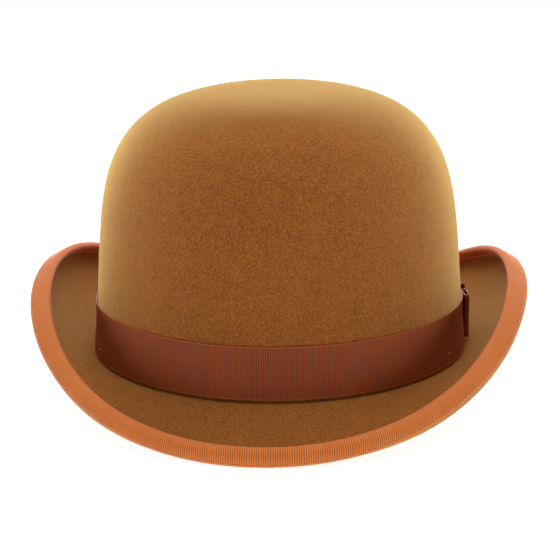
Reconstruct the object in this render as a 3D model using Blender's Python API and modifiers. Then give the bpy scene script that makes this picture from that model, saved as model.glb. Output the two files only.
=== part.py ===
"""Bowler hat in stiffened wool felt, with a grosgrain band, bow and bound, curled brim.

Metres, +Z up. The hat stands on the underside of its brim, so z = 0 is the table.
The front of the hat faces -Y and the wearer's left side, with the bow, is +X.

Every piece that runs round the hat is turned first as a flat ring. In that flat state the
radius is a station along the hat's section, from the tip of the crown out to the brim's
edge, and the height is the depth through the wall. The ring is then blocked: each point
is laid on the section that the hat has at that angle, so that all the pieces share one form.
"""
import math

import bmesh
import bpy
from mathutils import Matrix, Vector

# ---------------------------------------------------------------- driving dimensions
# Head opening, measured inside the sweatband (an oval of 580 mm, size 58).
HEAD_HALF_WIDTH = 0.0838
HEAD_HALF_LENGTH = 0.1000

# Materials' thicknesses and the clearance that neighbouring pieces keep.
GAP = 0.0003
FELT = 0.0024
RIBBON = 0.00045
LINING = 0.0003
SWEATBAND_LEATHER = 0.0012
TIP_GUARD_SHEET = 0.00025
LABEL_SHEET = 0.0003

# Crown, heights above the line where crown and brim meet.
CROWN_HEIGHT = 0.1273
SHOULDER_HEIGHT = 0.0265
CROWN_TAPER = 0.066
CROWN_RISE_POWER = 4.5
CROWN_ROUND_POWER = 3.1
CROWN_LEAN = -0.0066
BREAK_RADIUS = 0.0022

# The line where crown and brim meet, above the table.
BREAK_LINE_Z = 0.0158
BREAK_LINE_SET = -0.0027
BREAK_LINE_TILT = -0.0040

# Brim: how far the curl's outermost point stands out from the crown, and its height.
BRIM_OUT_SIDE = 0.0315
BRIM_OUT_END = 0.0408
BRIM_OUT_QUARTER = -0.0010
CURL_Z_SIDE = 0.0472
CURL_Z_REAR_RISE = 0.0226
LEAF_BOW_SIDE = math.radians(18.0)
LEAF_BOW_END = math.radians(3.0)

# Curl: radii of the felt's underside below and above the outermost point, and the lip.
CURL_LOW_RADIUS_SIDE = 0.0100
CURL_LOW_RADIUS_END = 0.0044
CURL_TOP_RADIUS_SIDE = 0.0034
CURL_TOP_RADIUS_END = 0.0040
LIP_ANGLE_SIDE = math.radians(153.0)
LIP_ANGLE_END = math.radians(143.0)
LIP_LENGTH_SIDE = 0.0058
LIP_LENGTH_END = 0.0006

# How deep the felt is pressed flat where the brim's front and back meet the table, and
# the thickness of the block that stands for the table.
REST_PRESS = 0.0003
TABLE_DEPTH = 0.02

# Trims.
BAND_HEIGHT = 0.0240
BAND_LIFT = 0.0022
BINDING_OUTER_LEG = 0.0082
BINDING_INNER_LEG = 0.0055
STITCH_INSET = 0.0013
THREAD_RADIUS = 0.00022

# Bow on the wearer's left, a little behind the widest point.
BOW_ANGLE = math.radians(17.0)
BOW_HALF_LENGTH = 0.0260
BOW_HEIGHT = 0.0215
BOW_LOOP_DEPTH = 0.0022
BOW_PINCH_DEPTH = 0.0011
LOOP_FULL_SHARE = 0.62
LOOP_STEPS = 5
KNOT_HALF_WIDTH = 0.0060
KNOT_CORNER = 0.0005

# Tack stitches that hold the band: angle round the hat, height above the break line.
TACK_HEIGHT = 0.0070
TACK_LENGTH = 0.0018
TACK_ANGLES = {
    "band_tack_right": math.radians(204.0),
    "band_tack_left": math.radians(336.0),
    "band_tack_rear": math.radians(90.0),
}

# Inside.
SWEATBAND_LOW = 0.0004
SWEATBAND_TOP = 0.0370
SWEATBAND_STITCH_HEIGHT = 0.0030
REED_RADIUS = 0.0008
REED_TAPE_SHEET = 0.0003
REED_TAPE_HEIGHT = 0.0085
LINING_LOW = 0.0120
LINING_TIP_STATION = 0.50
LINING_SEAM = 0.006
PIPING_RADIUS = 0.0006
TIP_GUARD_STATION = 0.43
BACK_BOW_HALF_LENGTH = 0.0110
BACK_BOW_WIDTH = 0.0060
BACK_BOW_HEIGHT = 0.0085
BACK_BOW_DEPTH = 0.0016
BACK_BOW_PINCH = 0.0009
BACK_BOW_STEPS = 3
SEAM_LOW = 0.0140
SEAM_TOP = 0.0345
SEAM_HALF_WIDTH = 0.0014
SEAM_STEPS = 12
LABEL_ANGLE = math.radians(72.0)
LABEL_HALF_LENGTH = 0.0130
LABEL_LOW = 0.0130
LABEL_TOP = 0.0250

# Turning: facets round the hat, and the angle past which an edge is drawn sharp.
SEGMENTS = 48
SHARP_ANGLE = math.radians(40.0)

# Radius of the flat ring where a height or an inset is zero; the station grows outwards.
HUB = 1.0

# ---------------------------------------------------------------- derived sizes
# The felt's outer face at the crown's wall, from the head outwards.
WALL_STACK = SWEATBAND_LEATHER + GAP + LINING + GAP + FELT
WALL_HALF_WIDTH = HEAD_HALF_WIDTH + WALL_STACK
WALL_HALF_LENGTH = HEAD_HALF_LENGTH + WALL_STACK

# Depths below the felt's outer face.
FELT_INNER = -FELT
LINING_OUTER = FELT_INNER - GAP
LINING_INNER = LINING_OUTER - LINING
SWEATBAND_OUTER = LINING_INNER - GAP
SWEATBAND_INNER = SWEATBAND_OUTER - SWEATBAND_LEATHER

# Heights above the felt's outer face.
RIBBON_INNER = GAP
RIBBON_OUTER = GAP + RIBBON

# The outermost point of the brim at the front and back, so that its curl meets the table.
CURL_Z_END = CURL_LOW_RADIUS_END - REST_PRESS

# Rounds in which the leaf's chord settles between the two arcs that it joins, and the
# step in station over which the dome's direction is taken.
CHORD_ROUNDS = 40
STATION_STEP = 0.004

# Stations where the zones of the section begin.
DOME, WALL, BREAK, LEAF, LOW_CURL, TOP_CURL, LIP, EDGE = range(8)


# ---------------------------------------------------------------- the hat's form
def mix(side, end, angle):
    """A size that changes smoothly from the hat's sides to its front and back."""
    return side + (end - side) * math.sin(angle) ** 2


def break_line(angle):
    """Height of the line where crown and brim meet, relative to its mean height."""
    across = math.sin(angle)
    return BREAK_LINE_SET * across ** 2 + BREAK_LINE_TILT * across


def curl_out(angle):
    """How far the outermost point of the brim stands out from the crown's wall."""
    quarter = math.sin(2.0 * angle) ** 2
    return mix(BRIM_OUT_SIDE, BRIM_OUT_END, angle) + BRIM_OUT_QUARTER * quarter


def curl_height(angle):
    """Height of the outermost point of the brim above the break line at this angle."""
    rise = CURL_Z_REAR_RISE * math.sin(angle) * math.cos(angle) ** 2
    above_table = mix(CURL_Z_SIDE, CURL_Z_END, angle) + rise
    return above_table - BREAK_LINE_Z - break_line(angle)


def arc_point(centre, radius, heading):
    """Point of an arc that turns left, where the section runs along the heading."""
    return (
        centre[0] + radius * math.sin(heading),
        centre[1] - radius * math.cos(heading),
    )


def brim_section(angle):
    """The brim's section at one angle: break, leaf, two arcs of the curl and the lip."""
    low_radius = mix(CURL_LOW_RADIUS_SIDE, CURL_LOW_RADIUS_END, angle)
    top_radius = mix(CURL_TOP_RADIUS_SIDE, CURL_TOP_RADIUS_END, angle)
    outermost = (curl_out(angle), curl_height(angle))
    low_centre = (outermost[0] - low_radius, outermost[1])
    top_centre = (outermost[0] - top_radius, outermost[1])
    break_centre = (BREAK_RADIUS, BREAK_RADIUS)
    bow = mix(LEAF_BOW_SIDE, LEAF_BOW_END, angle)
    chord = math.atan2(outermost[1], outermost[0])
    for _ in range(CHORD_ROUNDS):
        start = arc_point(break_centre, BREAK_RADIUS, chord - bow)
        finish = arc_point(low_centre, low_radius - FELT, chord + bow)
        chord = math.atan2(finish[1] - start[1], finish[0] - start[0])
    start = arc_point(break_centre, BREAK_RADIUS, chord - bow)
    finish = arc_point(low_centre, low_radius - FELT, chord + bow)
    leaf_radius = math.dist(start, finish) / (2.0 * math.sin(bow))
    return {
        "break_centre": break_centre,
        "leaf_start": start,
        "leaf_radius": leaf_radius,
        "leaf_from": chord - bow,
        "leaf_to": chord + bow,
        "low_centre": low_centre,
        "low_radius": low_radius,
        "top_centre": top_centre,
        "top_radius": top_radius,
        "lip_angle": mix(LIP_ANGLE_SIDE, LIP_ANGLE_END, angle),
        "lip_length": mix(LIP_LENGTH_SIDE, LIP_LENGTH_END, angle),
    }


def dome_outline(share):
    """Section of the crown above its wall, from the tip (0) down to the wall (1)."""
    turn = (1.0 - share) * math.pi / 2.0
    rise = math.sin(turn) ** (2.0 / CROWN_RISE_POWER)
    width = max(0.0, math.cos(turn)) ** (2.0 / CROWN_ROUND_POWER)
    out = WALL_HALF_WIDTH * ((1.0 - CROWN_TAPER * rise) * width - 1.0)
    height = SHOULDER_HEIGHT + (CROWN_HEIGHT - SHOULDER_HEIGHT) * rise
    return out, height


def dome_point(share):
    """Point of the dome and the direction in which its section runs there."""
    low = dome_outline(max(0.0, share - STATION_STEP))
    high = dome_outline(min(1.0, share + STATION_STEP))
    heading = math.atan2(high[1] - low[1], high[0] - low[0])
    if share <= 0.0:
        heading = 0.0
    if share >= 1.0:
        heading = -math.pi / 2.0
    return dome_outline(share), heading


def section_point(angle, station):
    """Point of the felt's outer face at a station, and the heading of the section."""
    zone = min(int(station), LIP)
    share = station - zone
    if zone == DOME:
        return dome_point(share)
    if zone == WALL:
        height = SHOULDER_HEIGHT + (BREAK_RADIUS - SHOULDER_HEIGHT) * share
        return (0.0, height), -math.pi / 2.0
    brim = brim_section(angle)
    if zone == BREAK:
        heading = -math.pi / 2.0 + (brim["leaf_from"] + math.pi / 2.0) * share
        return arc_point(brim["break_centre"], BREAK_RADIUS, heading), heading
    if zone == LEAF:
        heading = brim["leaf_from"] + (brim["leaf_to"] - brim["leaf_from"]) * share
        begin = arc_point((0.0, 0.0), brim["leaf_radius"], brim["leaf_from"])
        here = arc_point((0.0, 0.0), brim["leaf_radius"], heading)
        out = brim["leaf_start"][0] + here[0] - begin[0]
        height = brim["leaf_start"][1] + here[1] - begin[1]
        return (out, height), heading
    if zone == LOW_CURL:
        heading = brim["leaf_to"] + (math.pi / 2.0 - brim["leaf_to"]) * share
        return arc_point(brim["low_centre"], brim["low_radius"] - FELT, heading), heading
    if zone == TOP_CURL:
        heading = math.pi / 2.0 + (brim["lip_angle"] - math.pi / 2.0) * share
        return arc_point(brim["top_centre"], brim["top_radius"] - FELT, heading), heading
    heading = brim["lip_angle"]
    root = arc_point(brim["top_centre"], brim["top_radius"] - FELT, heading)
    reach = brim["lip_length"] * share
    return (root[0] + reach * math.cos(heading), root[1] + reach * math.sin(heading)), heading


def set_on_form(angle, point, heading, depth):
    """Place in the hat of a point of the section, raised by depth along its normal."""
    out = point[0] - depth * math.sin(heading)
    height = point[1] + depth * math.cos(heading)
    half_width = WALL_HALF_WIDTH + out
    half_length = WALL_HALF_LENGTH + out
    if out < 0.0:
        excess = WALL_HALF_LENGTH - WALL_HALF_WIDTH
        half_length -= excess * (-out / WALL_HALF_WIDTH) ** 3
    up = min(1.0, max(0.0, height / CROWN_HEIGHT))
    return Vector((
        half_width * math.cos(angle),
        half_length * math.sin(angle) + CROWN_LEAN * up,
        BREAK_LINE_Z + height + break_line(angle) * (1.0 - up),
    ))


def block(angle, station, depth):
    """Lay a point of a flat ring on the hat's form."""
    point, heading = section_point(angle, station)
    return set_on_form(angle, point, heading, depth)


def edge_point(angle, inset):
    """Point of the section, and its heading, by distance from the felt's edge."""
    brim = brim_section(angle)
    if inset < 0.0:
        point, heading = section_point(angle, float(EDGE))
        return (point[0] - inset * math.cos(heading), point[1] - inset * math.sin(heading)), heading
    if inset <= brim["lip_length"]:
        return section_point(angle, EDGE - inset / brim["lip_length"])
    turned = (inset - brim["lip_length"]) / brim["top_radius"]
    full_turn = brim["lip_angle"] - math.pi / 2.0
    if turned <= full_turn:
        return section_point(angle, LIP - turned / full_turn)
    left = (turned - full_turn) * brim["top_radius"] / brim["low_radius"]
    return section_point(angle, TOP_CURL - left / (math.pi / 2.0 - brim["leaf_to"]))


def block_from_edge(angle, inset, depth):
    """Lay a point on the brim, by its distance from the felt's edge along the underside."""
    point, heading = edge_point(angle, inset)
    return set_on_form(angle, point, heading, depth)


def station_at(height):
    """Station of the crown at a height above the break line."""
    if height <= SHOULDER_HEIGHT:
        return WALL + (SHOULDER_HEIGHT - height) / (SHOULDER_HEIGHT - BREAK_RADIUS)
    rise = (height - SHOULDER_HEIGHT) / (CROWN_HEIGHT - SHOULDER_HEIGHT)
    return 1.0 - math.asin(rise ** (CROWN_RISE_POWER / 2.0)) / (math.pi / 2.0)


def wall_place(angle, height, depth):
    """Place on the crown's wall, by height above the break line and by depth."""
    if height < BREAK_RADIUS:
        return set_on_form(angle, (0.0, height), -math.pi / 2.0, depth)
    return block(angle, station_at(height), depth)


def wall_angle(centre_angle, along):
    """Angle of a place that lies a distance along the wall from a centre."""
    speed = math.hypot(
        WALL_HALF_WIDTH * math.sin(centre_angle),
        WALL_HALF_LENGTH * math.cos(centre_angle),
    )
    return centre_angle + along / speed


# Stations where the crown's curve is cut into facets.
ROOF_STATIONS = [0.0, 0.14, 0.27, 0.39, 0.50]
SIDE_STATIONS = [0.62] + [station_at(height) for height in (0.094, 0.080, 0.064, 0.044)]


# ---------------------------------------------------------------- making pieces
def clear_scene():
    """Remove whatever the file holds, so that the hat stands alone."""
    for item in list(bpy.data.objects):
        bpy.data.objects.remove(item, do_unlink=True)


def make_collection(name):
    group = bpy.data.collections.new(name)
    bpy.context.scene.collection.children.link(group)
    return group


def make_material(name, colour, roughness, metallic=0.0):
    material = bpy.data.materials.new(name)
    material.use_nodes = True
    shader = material.node_tree.nodes["Principled BSDF"]
    shader.inputs["Base Color"].default_value = (*colour, 1.0)
    shader.inputs["Roughness"].default_value = roughness
    shader.inputs["Metallic"].default_value = metallic
    return material


def add_piece(name, mesh, material, group):
    mesh.materials.clear()
    mesh.materials.append(material)
    mesh.shade_smooth()
    mesh.set_sharp_from_angle(angle=SHARP_ANGLE)
    piece = bpy.data.objects.new(name, mesh)
    group.objects.link(piece)
    return piece


def outline_to_mesh(name, outline, closed, place):
    """Turn an outline of (radius, height) points and block every point of the ring."""
    shape = bmesh.new()
    ring = [shape.verts.new((radius, 0.0, height)) for radius, height in outline]
    pairs = list(zip(ring, ring[1:]))
    if closed:
        pairs.append((ring[-1], ring[0]))
    edges = [shape.edges.new(pair) for pair in pairs]
    bmesh.ops.spin(
        shape, geom=ring + edges, cent=(0.0, 0.0, 0.0), axis=(0.0, 0.0, 1.0),
        angle=2.0 * math.pi, steps=SEGMENTS, use_merge=True,
    )
    bmesh.ops.remove_doubles(shape, verts=shape.verts, dist=1e-6)
    bmesh.ops.dissolve_degenerate(shape, dist=1e-7, edges=shape.edges)
    bmesh.ops.recalc_face_normals(shape, faces=shape.faces)
    for point in shape.verts:
        radius = math.hypot(point.co.x, point.co.y)
        angle = math.atan2(point.co.y, point.co.x)
        point.co = place(angle, radius, point.co.z)
    mesh = bpy.data.meshes.new(name)
    shape.to_mesh(mesh)
    shape.free()
    return mesh


def sheet_outline(stations, outer, inner):
    """Closed outline of a sheet that runs through the stations between two depths."""
    face = [(station, outer) for station in stations]
    back = [(station, inner) for station in reversed(stations)]
    return face + back


def spread(low, high, steps):
    """Evenly spaced values from low to high, both included."""
    return [low + (high - low) * index / steps for index in range(steps + 1)]


def cord_outline(centre, radius, unit, sides):
    """Section of a round cord: centre is (station, depth), unit is metres per station."""
    turns = [2.0 * math.pi * (index + 0.5) / sides for index in range(sides)]
    return [
        (centre[0] + radius * math.cos(turn) / unit, centre[1] + radius * math.sin(turn))
        for turn in turns
    ]


def make_strip_ring(name, path, low, high, place, material, group):
    """A strip of ribbon on edge that closes on itself, along a path of (along, depth)."""
    shape = bmesh.new()
    foot = [shape.verts.new((along, low, depth)) for along, depth in path]
    edges = [shape.edges.new((foot[index - 1], foot[index])) for index in range(len(foot))]
    raised = bmesh.ops.extrude_edge_only(shape, edges=edges)["geom"]
    top = [item for item in raised if isinstance(item, bmesh.types.BMVert)]
    bmesh.ops.translate(shape, verts=top, vec=(0.0, high - low, 0.0))
    for point in shape.verts:
        point.co = place(*point.co)
    bmesh.ops.recalc_face_normals(shape, faces=shape.faces)
    mesh = bpy.data.meshes.new(name)
    shape.to_mesh(mesh)
    shape.free()
    piece = add_piece(name, mesh, material, group)
    wall = piece.modifiers.new("ribbon_thickness", "SOLIDIFY")
    wall.thickness = RIBBON
    wall.offset = 0.0
    wall.use_even_offset = True
    return piece


def loop_path(half_length, back, depth, pinch, steps):
    """Flattened figure of a bow seen from above: two loops and a pinched middle."""
    end_radius = depth / 2.0
    front = []
    for index in range(-steps, steps + 1):
        share = index / steps
        along = share * (half_length - end_radius)
        swell = math.sin(min(1.0, abs(share) / LOOP_FULL_SHARE) * math.pi / 2.0) ** 2
        front.append((along, back + pinch + (depth - pinch) * swell))
    right_end = (half_length, back + end_radius)
    left_end = (-half_length, back + end_radius)
    rear = [(along, back) for along, _ in reversed(front)]
    return [left_end] + front + [right_end] + rear


def block_shape(name, size, cuts, place):
    """A bevelled cuboid laid on the hat: size holds (low, high) for along, up and depth."""
    shape = bmesh.new()
    bmesh.ops.create_cube(shape, size=1.0)
    spans = [high - low for low, high in size]
    middles = [(high + low) / 2.0 for low, high in size]
    bmesh.ops.scale(shape, vec=spans, verts=shape.verts)
    bmesh.ops.translate(shape, vec=middles, verts=shape.verts)
    for index in range(1, cuts):
        along = size[0][0] + spans[0] * index / cuts
        everything = list(shape.verts) + list(shape.edges) + list(shape.faces)
        bmesh.ops.bisect_plane(
            shape, geom=everything, plane_co=(along, 0.0, 0.0), plane_no=(1.0, 0.0, 0.0),
        )
    for point in shape.verts:
        point.co = place(*point.co)
    mesh = bpy.data.meshes.new(name)
    shape.to_mesh(mesh)
    shape.free()
    return mesh


def thread_mesh(name, points, radius):
    """A thread through the points, as a bevelled curve with closed ends."""
    curve = bpy.data.curves.new(name, "CURVE")
    curve.dimensions = "3D"
    curve.bevel_depth = radius
    curve.bevel_resolution = 1
    curve.use_fill_caps = True
    spline = curve.splines.new("POLY")
    spline.points.add(len(points) - 1)
    for target, place in zip(spline.points, points):
        target.co = (*place, 1.0)
    holder = bpy.data.objects.new(name, curve)
    bpy.context.scene.collection.objects.link(holder)
    graph = bpy.context.evaluated_depsgraph_get()
    mesh = bpy.data.meshes.new_from_object(holder.evaluated_get(graph))
    bpy.data.objects.remove(holder, do_unlink=True)
    shape = bmesh.new()
    shape.from_mesh(mesh)
    bmesh.ops.remove_doubles(shape, verts=shape.verts, dist=1e-6)
    bmesh.ops.recalc_face_normals(shape, faces=shape.faces)
    shape.to_mesh(mesh)
    shape.free()
    return mesh


# ---------------------------------------------------------------- felt, binding and band
def felt_stations():
    """Stations of the felt's two faces, closer together where the section bends."""
    dome = ROOF_STATIONS + SIDE_STATIONS
    wall = [float(WALL), WALL + 0.5]
    corner = [float(BREAK), BREAK + 0.5]
    leaf = spread(LEAF, LOW_CURL, 4)
    low_curl = spread(LOW_CURL, TOP_CURL, 4)[1:]
    top_curl = spread(TOP_CURL, LIP, 3)[1:]
    return dome + wall + corner + leaf + low_curl + top_curl + [float(EDGE)]


def make_felt_body(group, material, cutters):
    """Crown and brim in one piece of felt, pressed flat where it meets the table."""
    outline = sheet_outline(felt_stations(), 0.0, FELT_INNER)
    mesh = outline_to_mesh("felt_body", outline, False, block)
    piece = add_piece("felt_body", mesh, material, group)
    side = 3.0 * (WALL_HALF_LENGTH + BRIM_OUT_END)
    bpy.ops.mesh.primitive_cube_add(size=1.0, location=(0.0, 0.0, -TABLE_DEPTH / 2.0))
    table = bpy.context.object
    table.name = "table_plane"
    table.data.transform(Matrix.Diagonal((side, side, TABLE_DEPTH, 1.0)))
    table.hide_render = True
    table.display_type = "WIRE"
    for owner in list(table.users_collection):
        owner.objects.unlink(table)
    cutters.objects.link(table)
    press = piece.modifiers.new("pressed_flat", "BOOLEAN")
    press.operation = "DIFFERENCE"
    press.solver = "EXACT"
    press.object = table
    return piece


def make_brim_binding(group, material):
    """Ribbon folded over the brim's edge, its wide leg on the outside of the curl."""
    fold_turns = [math.radians(turn) for turn in (45.0, 90.0, 135.0)]
    outer_radius = FELT / 2.0 + RIBBON_OUTER
    inner_radius = FELT / 2.0 + RIBBON_INNER
    middle = -FELT / 2.0
    low_outer = FELT_INNER - RIBBON_OUTER
    low_inner = FELT_INNER - RIBBON_INNER
    outer_leg = spread(0.0, BINDING_OUTER_LEG, 5)
    inner_leg = spread(0.0, BINDING_INNER_LEG, 3)
    outline = [(inset, low_outer) for inset in reversed(outer_leg)]
    for turn in fold_turns:
        outline.append((-outer_radius * math.sin(turn), middle - outer_radius * math.cos(turn)))
    outline += [(inset, RIBBON_OUTER) for inset in inner_leg]
    outline += [(inset, RIBBON_INNER) for inset in reversed(inner_leg)]
    for turn in reversed(fold_turns):
        outline.append((-inner_radius * math.sin(turn), middle - inner_radius * math.cos(turn)))
    outline += [(inset, low_inner) for inset in outer_leg]
    flat = [(HUB - inset, depth) for inset, depth in outline]
    mesh = outline_to_mesh(
        "brim_binding", flat, True,
        lambda angle, radius, depth: block_from_edge(angle, HUB - radius, depth),
    )
    return add_piece("brim_binding", mesh, material, group)


def make_binding_thread(group, material, name, inset, depth):
    """One of the two threads that sew the binding on, as it lies along the ribbon."""
    def lay_section(angle, radius, depth_here):
        point, heading = edge_point(angle, inset)
        along = radius - (HUB - inset)
        moved = (point[0] + along * math.cos(heading), point[1] + along * math.sin(heading))
        return set_on_form(angle, moved, heading, depth_here)

    outline = cord_outline((HUB - inset, depth), THREAD_RADIUS, 1.0, 4)
    mesh = outline_to_mesh(name, outline, True, lay_section)
    return add_piece(name, mesh, material, group)


def make_hat_band(group, material):
    """Ribbon round the foot of the crown."""
    stations = [
        station_at(BAND_LIFT + BAND_HEIGHT),
        station_at(BAND_LIFT + BAND_HEIGHT / 2.0),
        station_at(BAND_LIFT),
    ]
    outline = sheet_outline(stations, RIBBON_OUTER, RIBBON_INNER)
    mesh = outline_to_mesh("hat_band", outline, True, block)
    return add_piece("hat_band", mesh, material, group)


def make_band_tack(group, material, name, angle):
    """A short stitch that holds the band to the crown."""
    depth = RIBBON_OUTER + GAP + THREAD_RADIUS
    ends = [wall_angle(angle, share * TACK_LENGTH / 2.0) for share in (-1.0, 0.0, 1.0)]
    points = [wall_place(end, TACK_HEIGHT, depth) for end in ends]
    return add_piece(name, thread_mesh(name, points, THREAD_RADIUS), material, group)


# ---------------------------------------------------------------- bow
def bow_place(along, height, depth):
    return wall_place(wall_angle(BOW_ANGLE, along), height, depth)


def bow_levels():
    """Low and high edge of the bow's ribbon, centred on the band."""
    middle = BAND_LIFT + BAND_HEIGHT / 2.0
    return middle - BOW_HEIGHT / 2.0, middle + BOW_HEIGHT / 2.0


def make_bow_loops(group, material):
    """One ribbon folded into the two flat loops of the bow."""
    low, high = bow_levels()
    back = RIBBON_OUTER + GAP + RIBBON + GAP + RIBBON / 2.0
    path = loop_path(BOW_HALF_LENGTH, back, BOW_LOOP_DEPTH, BOW_PINCH_DEPTH, LOOP_STEPS)
    return make_strip_ring("bow_loops", path, low, high, bow_place, material, group)


def make_bow_knot(group, material):
    """Short ribbon wrapped round the middle of the loops."""
    low, high = bow_levels()
    back = RIBBON_OUTER + GAP + RIBBON / 2.0
    front = back + RIBBON + GAP + BOW_LOOP_DEPTH + RIBBON + GAP
    foot = low - GAP - RIBBON / 2.0 - KNOT_CORNER / 2.0
    head = high + GAP + RIBBON / 2.0 + KNOT_CORNER / 2.0
    path = [
        (foot + KNOT_CORNER, back), (foot, back + KNOT_CORNER),
        (foot, front - KNOT_CORNER), (foot + KNOT_CORNER, front),
        (head - KNOT_CORNER, front), (head, front - KNOT_CORNER),
        (head, back + KNOT_CORNER), (head - KNOT_CORNER, back),
    ]
    return make_strip_ring(
        "bow_knot", path, -KNOT_HALF_WIDTH, KNOT_HALF_WIDTH,
        lambda height, along, depth: bow_place(along, height, depth), material, group,
    )


# ---------------------------------------------------------------- inside of the hat
def make_sweatband(group, material):
    """Leather strip that the head touches."""
    heights = spread(SWEATBAND_LOW, SWEATBAND_TOP, 3)
    outline = sheet_outline([HUB - height for height in reversed(heights)],
                            SWEATBAND_OUTER, SWEATBAND_INNER)
    mesh = outline_to_mesh(
        "sweatband", outline, True,
        lambda angle, radius, depth: wall_place(angle, HUB - radius, depth),
    )
    return add_piece("sweatband", mesh, material, group)


def reed_centre():
    """Height and depth of the reed, just under the sweatband's lower edge."""
    height = SWEATBAND_LOW - GAP - REED_TAPE_SHEET - GAP - REED_RADIUS
    depth = (SWEATBAND_OUTER + SWEATBAND_INNER) / 2.0
    return height, depth


def make_reed(group, material):
    """Round filament that stiffens the sweatband's lower edge."""
    height, depth = reed_centre()
    outline = cord_outline((HUB - height, depth), REED_RADIUS, 1.0, 6)
    mesh = outline_to_mesh(
        "sweatband_reed", outline, True,
        lambda angle, radius, depth_here: wall_place(angle, HUB - radius, depth_here),
    )
    return add_piece("sweatband_reed", mesh, material, group)


def make_reed_tape(group, material):
    """Tape wrapped round the reed, its long leg behind the sweatband."""
    height, depth = reed_centre()
    inner_radius = REED_RADIUS + GAP
    outer_radius = inner_radius + REED_TAPE_SHEET
    top = REED_TAPE_HEIGHT
    turns = [math.radians(angle) for angle in (90.0, 140.0, 190.0, 240.0)]
    outside = [
        (height + outer_radius * math.cos(turn), depth + outer_radius * math.sin(turn))
        for turn in turns
    ]
    inside = [
        (height + inner_radius * math.cos(turn), depth + inner_radius * math.sin(turn))
        for turn in turns
    ]
    leg_outer = [(top, LINING_OUTER), (SWEATBAND_LOW, LINING_OUTER)]
    leg_inner = [(SWEATBAND_LOW, LINING_INNER), (top, LINING_INNER)]
    outline = leg_outer + outside + list(reversed(inside)) + leg_inner
    flat = [(HUB - level, place) for level, place in outline]
    mesh = outline_to_mesh(
        "reed_tape", flat, True,
        lambda angle, radius, depth_here: wall_place(angle, HUB - radius, depth_here),
    )
    return add_piece("reed_tape", mesh, material, group)


def make_sweatband_thread(group, material):
    """Stitching that joins the sweatband to its tape."""
    depth = SWEATBAND_INNER - GAP - THREAD_RADIUS
    outline = cord_outline((HUB - SWEATBAND_STITCH_HEIGHT, depth), THREAD_RADIUS, 1.0, 4)
    mesh = outline_to_mesh(
        "sweatband_thread", outline, True,
        lambda angle, radius, depth_here: wall_place(angle, HUB - radius, depth_here),
    )
    return add_piece("sweatband_thread", mesh, material, group)


def rear_place(along, height, depth):
    return wall_place(wall_angle(math.pi / 2.0, along), height, depth)


def make_seam_thread(group, material):
    """Zigzag thread that closes the sweatband at the back."""
    depth = SWEATBAND_INNER - GAP - THREAD_RADIUS
    points = []
    for index in range(SEAM_STEPS + 1):
        height = SEAM_LOW + (SEAM_TOP - SEAM_LOW) * index / SEAM_STEPS
        along = SEAM_HALF_WIDTH * (-1.0) ** index
        points.append(rear_place(along, height, depth))
    name = "sweatband_seam_thread"
    return add_piece(name, thread_mesh(name, points, THREAD_RADIUS), material, group)


def make_back_bow(group, material):
    """Small flat bow at the foot of the sweatband's rear seam."""
    near = SWEATBAND_INNER - GAP - THREAD_RADIUS * 2.0 - GAP - RIBBON / 2.0
    path = loop_path(BACK_BOW_HALF_LENGTH, 0.0, BACK_BOW_DEPTH, BACK_BOW_PINCH, BACK_BOW_STEPS)
    low = BACK_BOW_HEIGHT - BACK_BOW_WIDTH / 2.0
    high = BACK_BOW_HEIGHT + BACK_BOW_WIDTH / 2.0
    return make_strip_ring(
        "sweatband_bow", path, low, high,
        lambda along, height, depth: rear_place(along, height, near - depth), material, group,
    )


def make_size_label(group, material):
    """Blank size label inside the sweatband, beside the rear seam."""
    outer = SWEATBAND_INNER - GAP
    size = (
        (-LABEL_HALF_LENGTH, LABEL_HALF_LENGTH),
        (LABEL_LOW, LABEL_TOP),
        (outer - LABEL_SHEET, outer),
    )
    mesh = block_shape(
        "size_label", size, 4,
        lambda along, height, depth: wall_place(wall_angle(LABEL_ANGLE, along), height, depth),
    )
    return add_piece("size_label", mesh, material, group)


def make_lining_side(group, material):
    """Satin wall of the lining, tucked behind the sweatband."""
    top = LINING_TIP_STATION + LINING_SEAM
    stations = [top] + SIDE_STATIONS + [float(WALL), station_at(LINING_LOW)]
    outline = sheet_outline(stations, LINING_OUTER, LINING_INNER)
    mesh = outline_to_mesh("lining_side", outline, True, block)
    return add_piece("lining_side", mesh, material, group)


def make_lining_tip(group, material):
    """Satin oval that closes the lining under the crown's tip."""
    inside = [station for station in ROOF_STATIONS if station < LINING_TIP_STATION]
    stations = inside + [LINING_TIP_STATION - LINING_SEAM]
    outline = sheet_outline(stations, LINING_OUTER, LINING_INNER)
    mesh = outline_to_mesh("lining_tip", outline, False, block)
    return add_piece("lining_tip", mesh, material, group)


def make_lining_piping(group, material):
    """Covered cord over the seam between the lining's wall and tip."""
    above = dome_outline(LINING_TIP_STATION - STATION_STEP)
    below = dome_outline(LINING_TIP_STATION + STATION_STEP)
    metres_per_station = math.dist(above, below) / (2.0 * STATION_STEP)
    centre = (LINING_TIP_STATION, LINING_INNER - GAP - PIPING_RADIUS)
    outline = cord_outline(centre, PIPING_RADIUS, metres_per_station, 6)
    mesh = outline_to_mesh("lining_piping", outline, True, block)
    return add_piece("lining_piping", mesh, material, group)


def make_tip_guard(group, material):
    """Clear sheet that keeps hair off the lining's tip."""
    outer = LINING_INNER - GAP
    inside = [station for station in ROOF_STATIONS if station < TIP_GUARD_STATION]
    stations = inside + [TIP_GUARD_STATION]
    outline = sheet_outline(stations, outer, outer - TIP_GUARD_SHEET)
    mesh = outline_to_mesh("tip_guard", outline, False, block)
    return add_piece("tip_guard", mesh, material, group)


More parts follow.
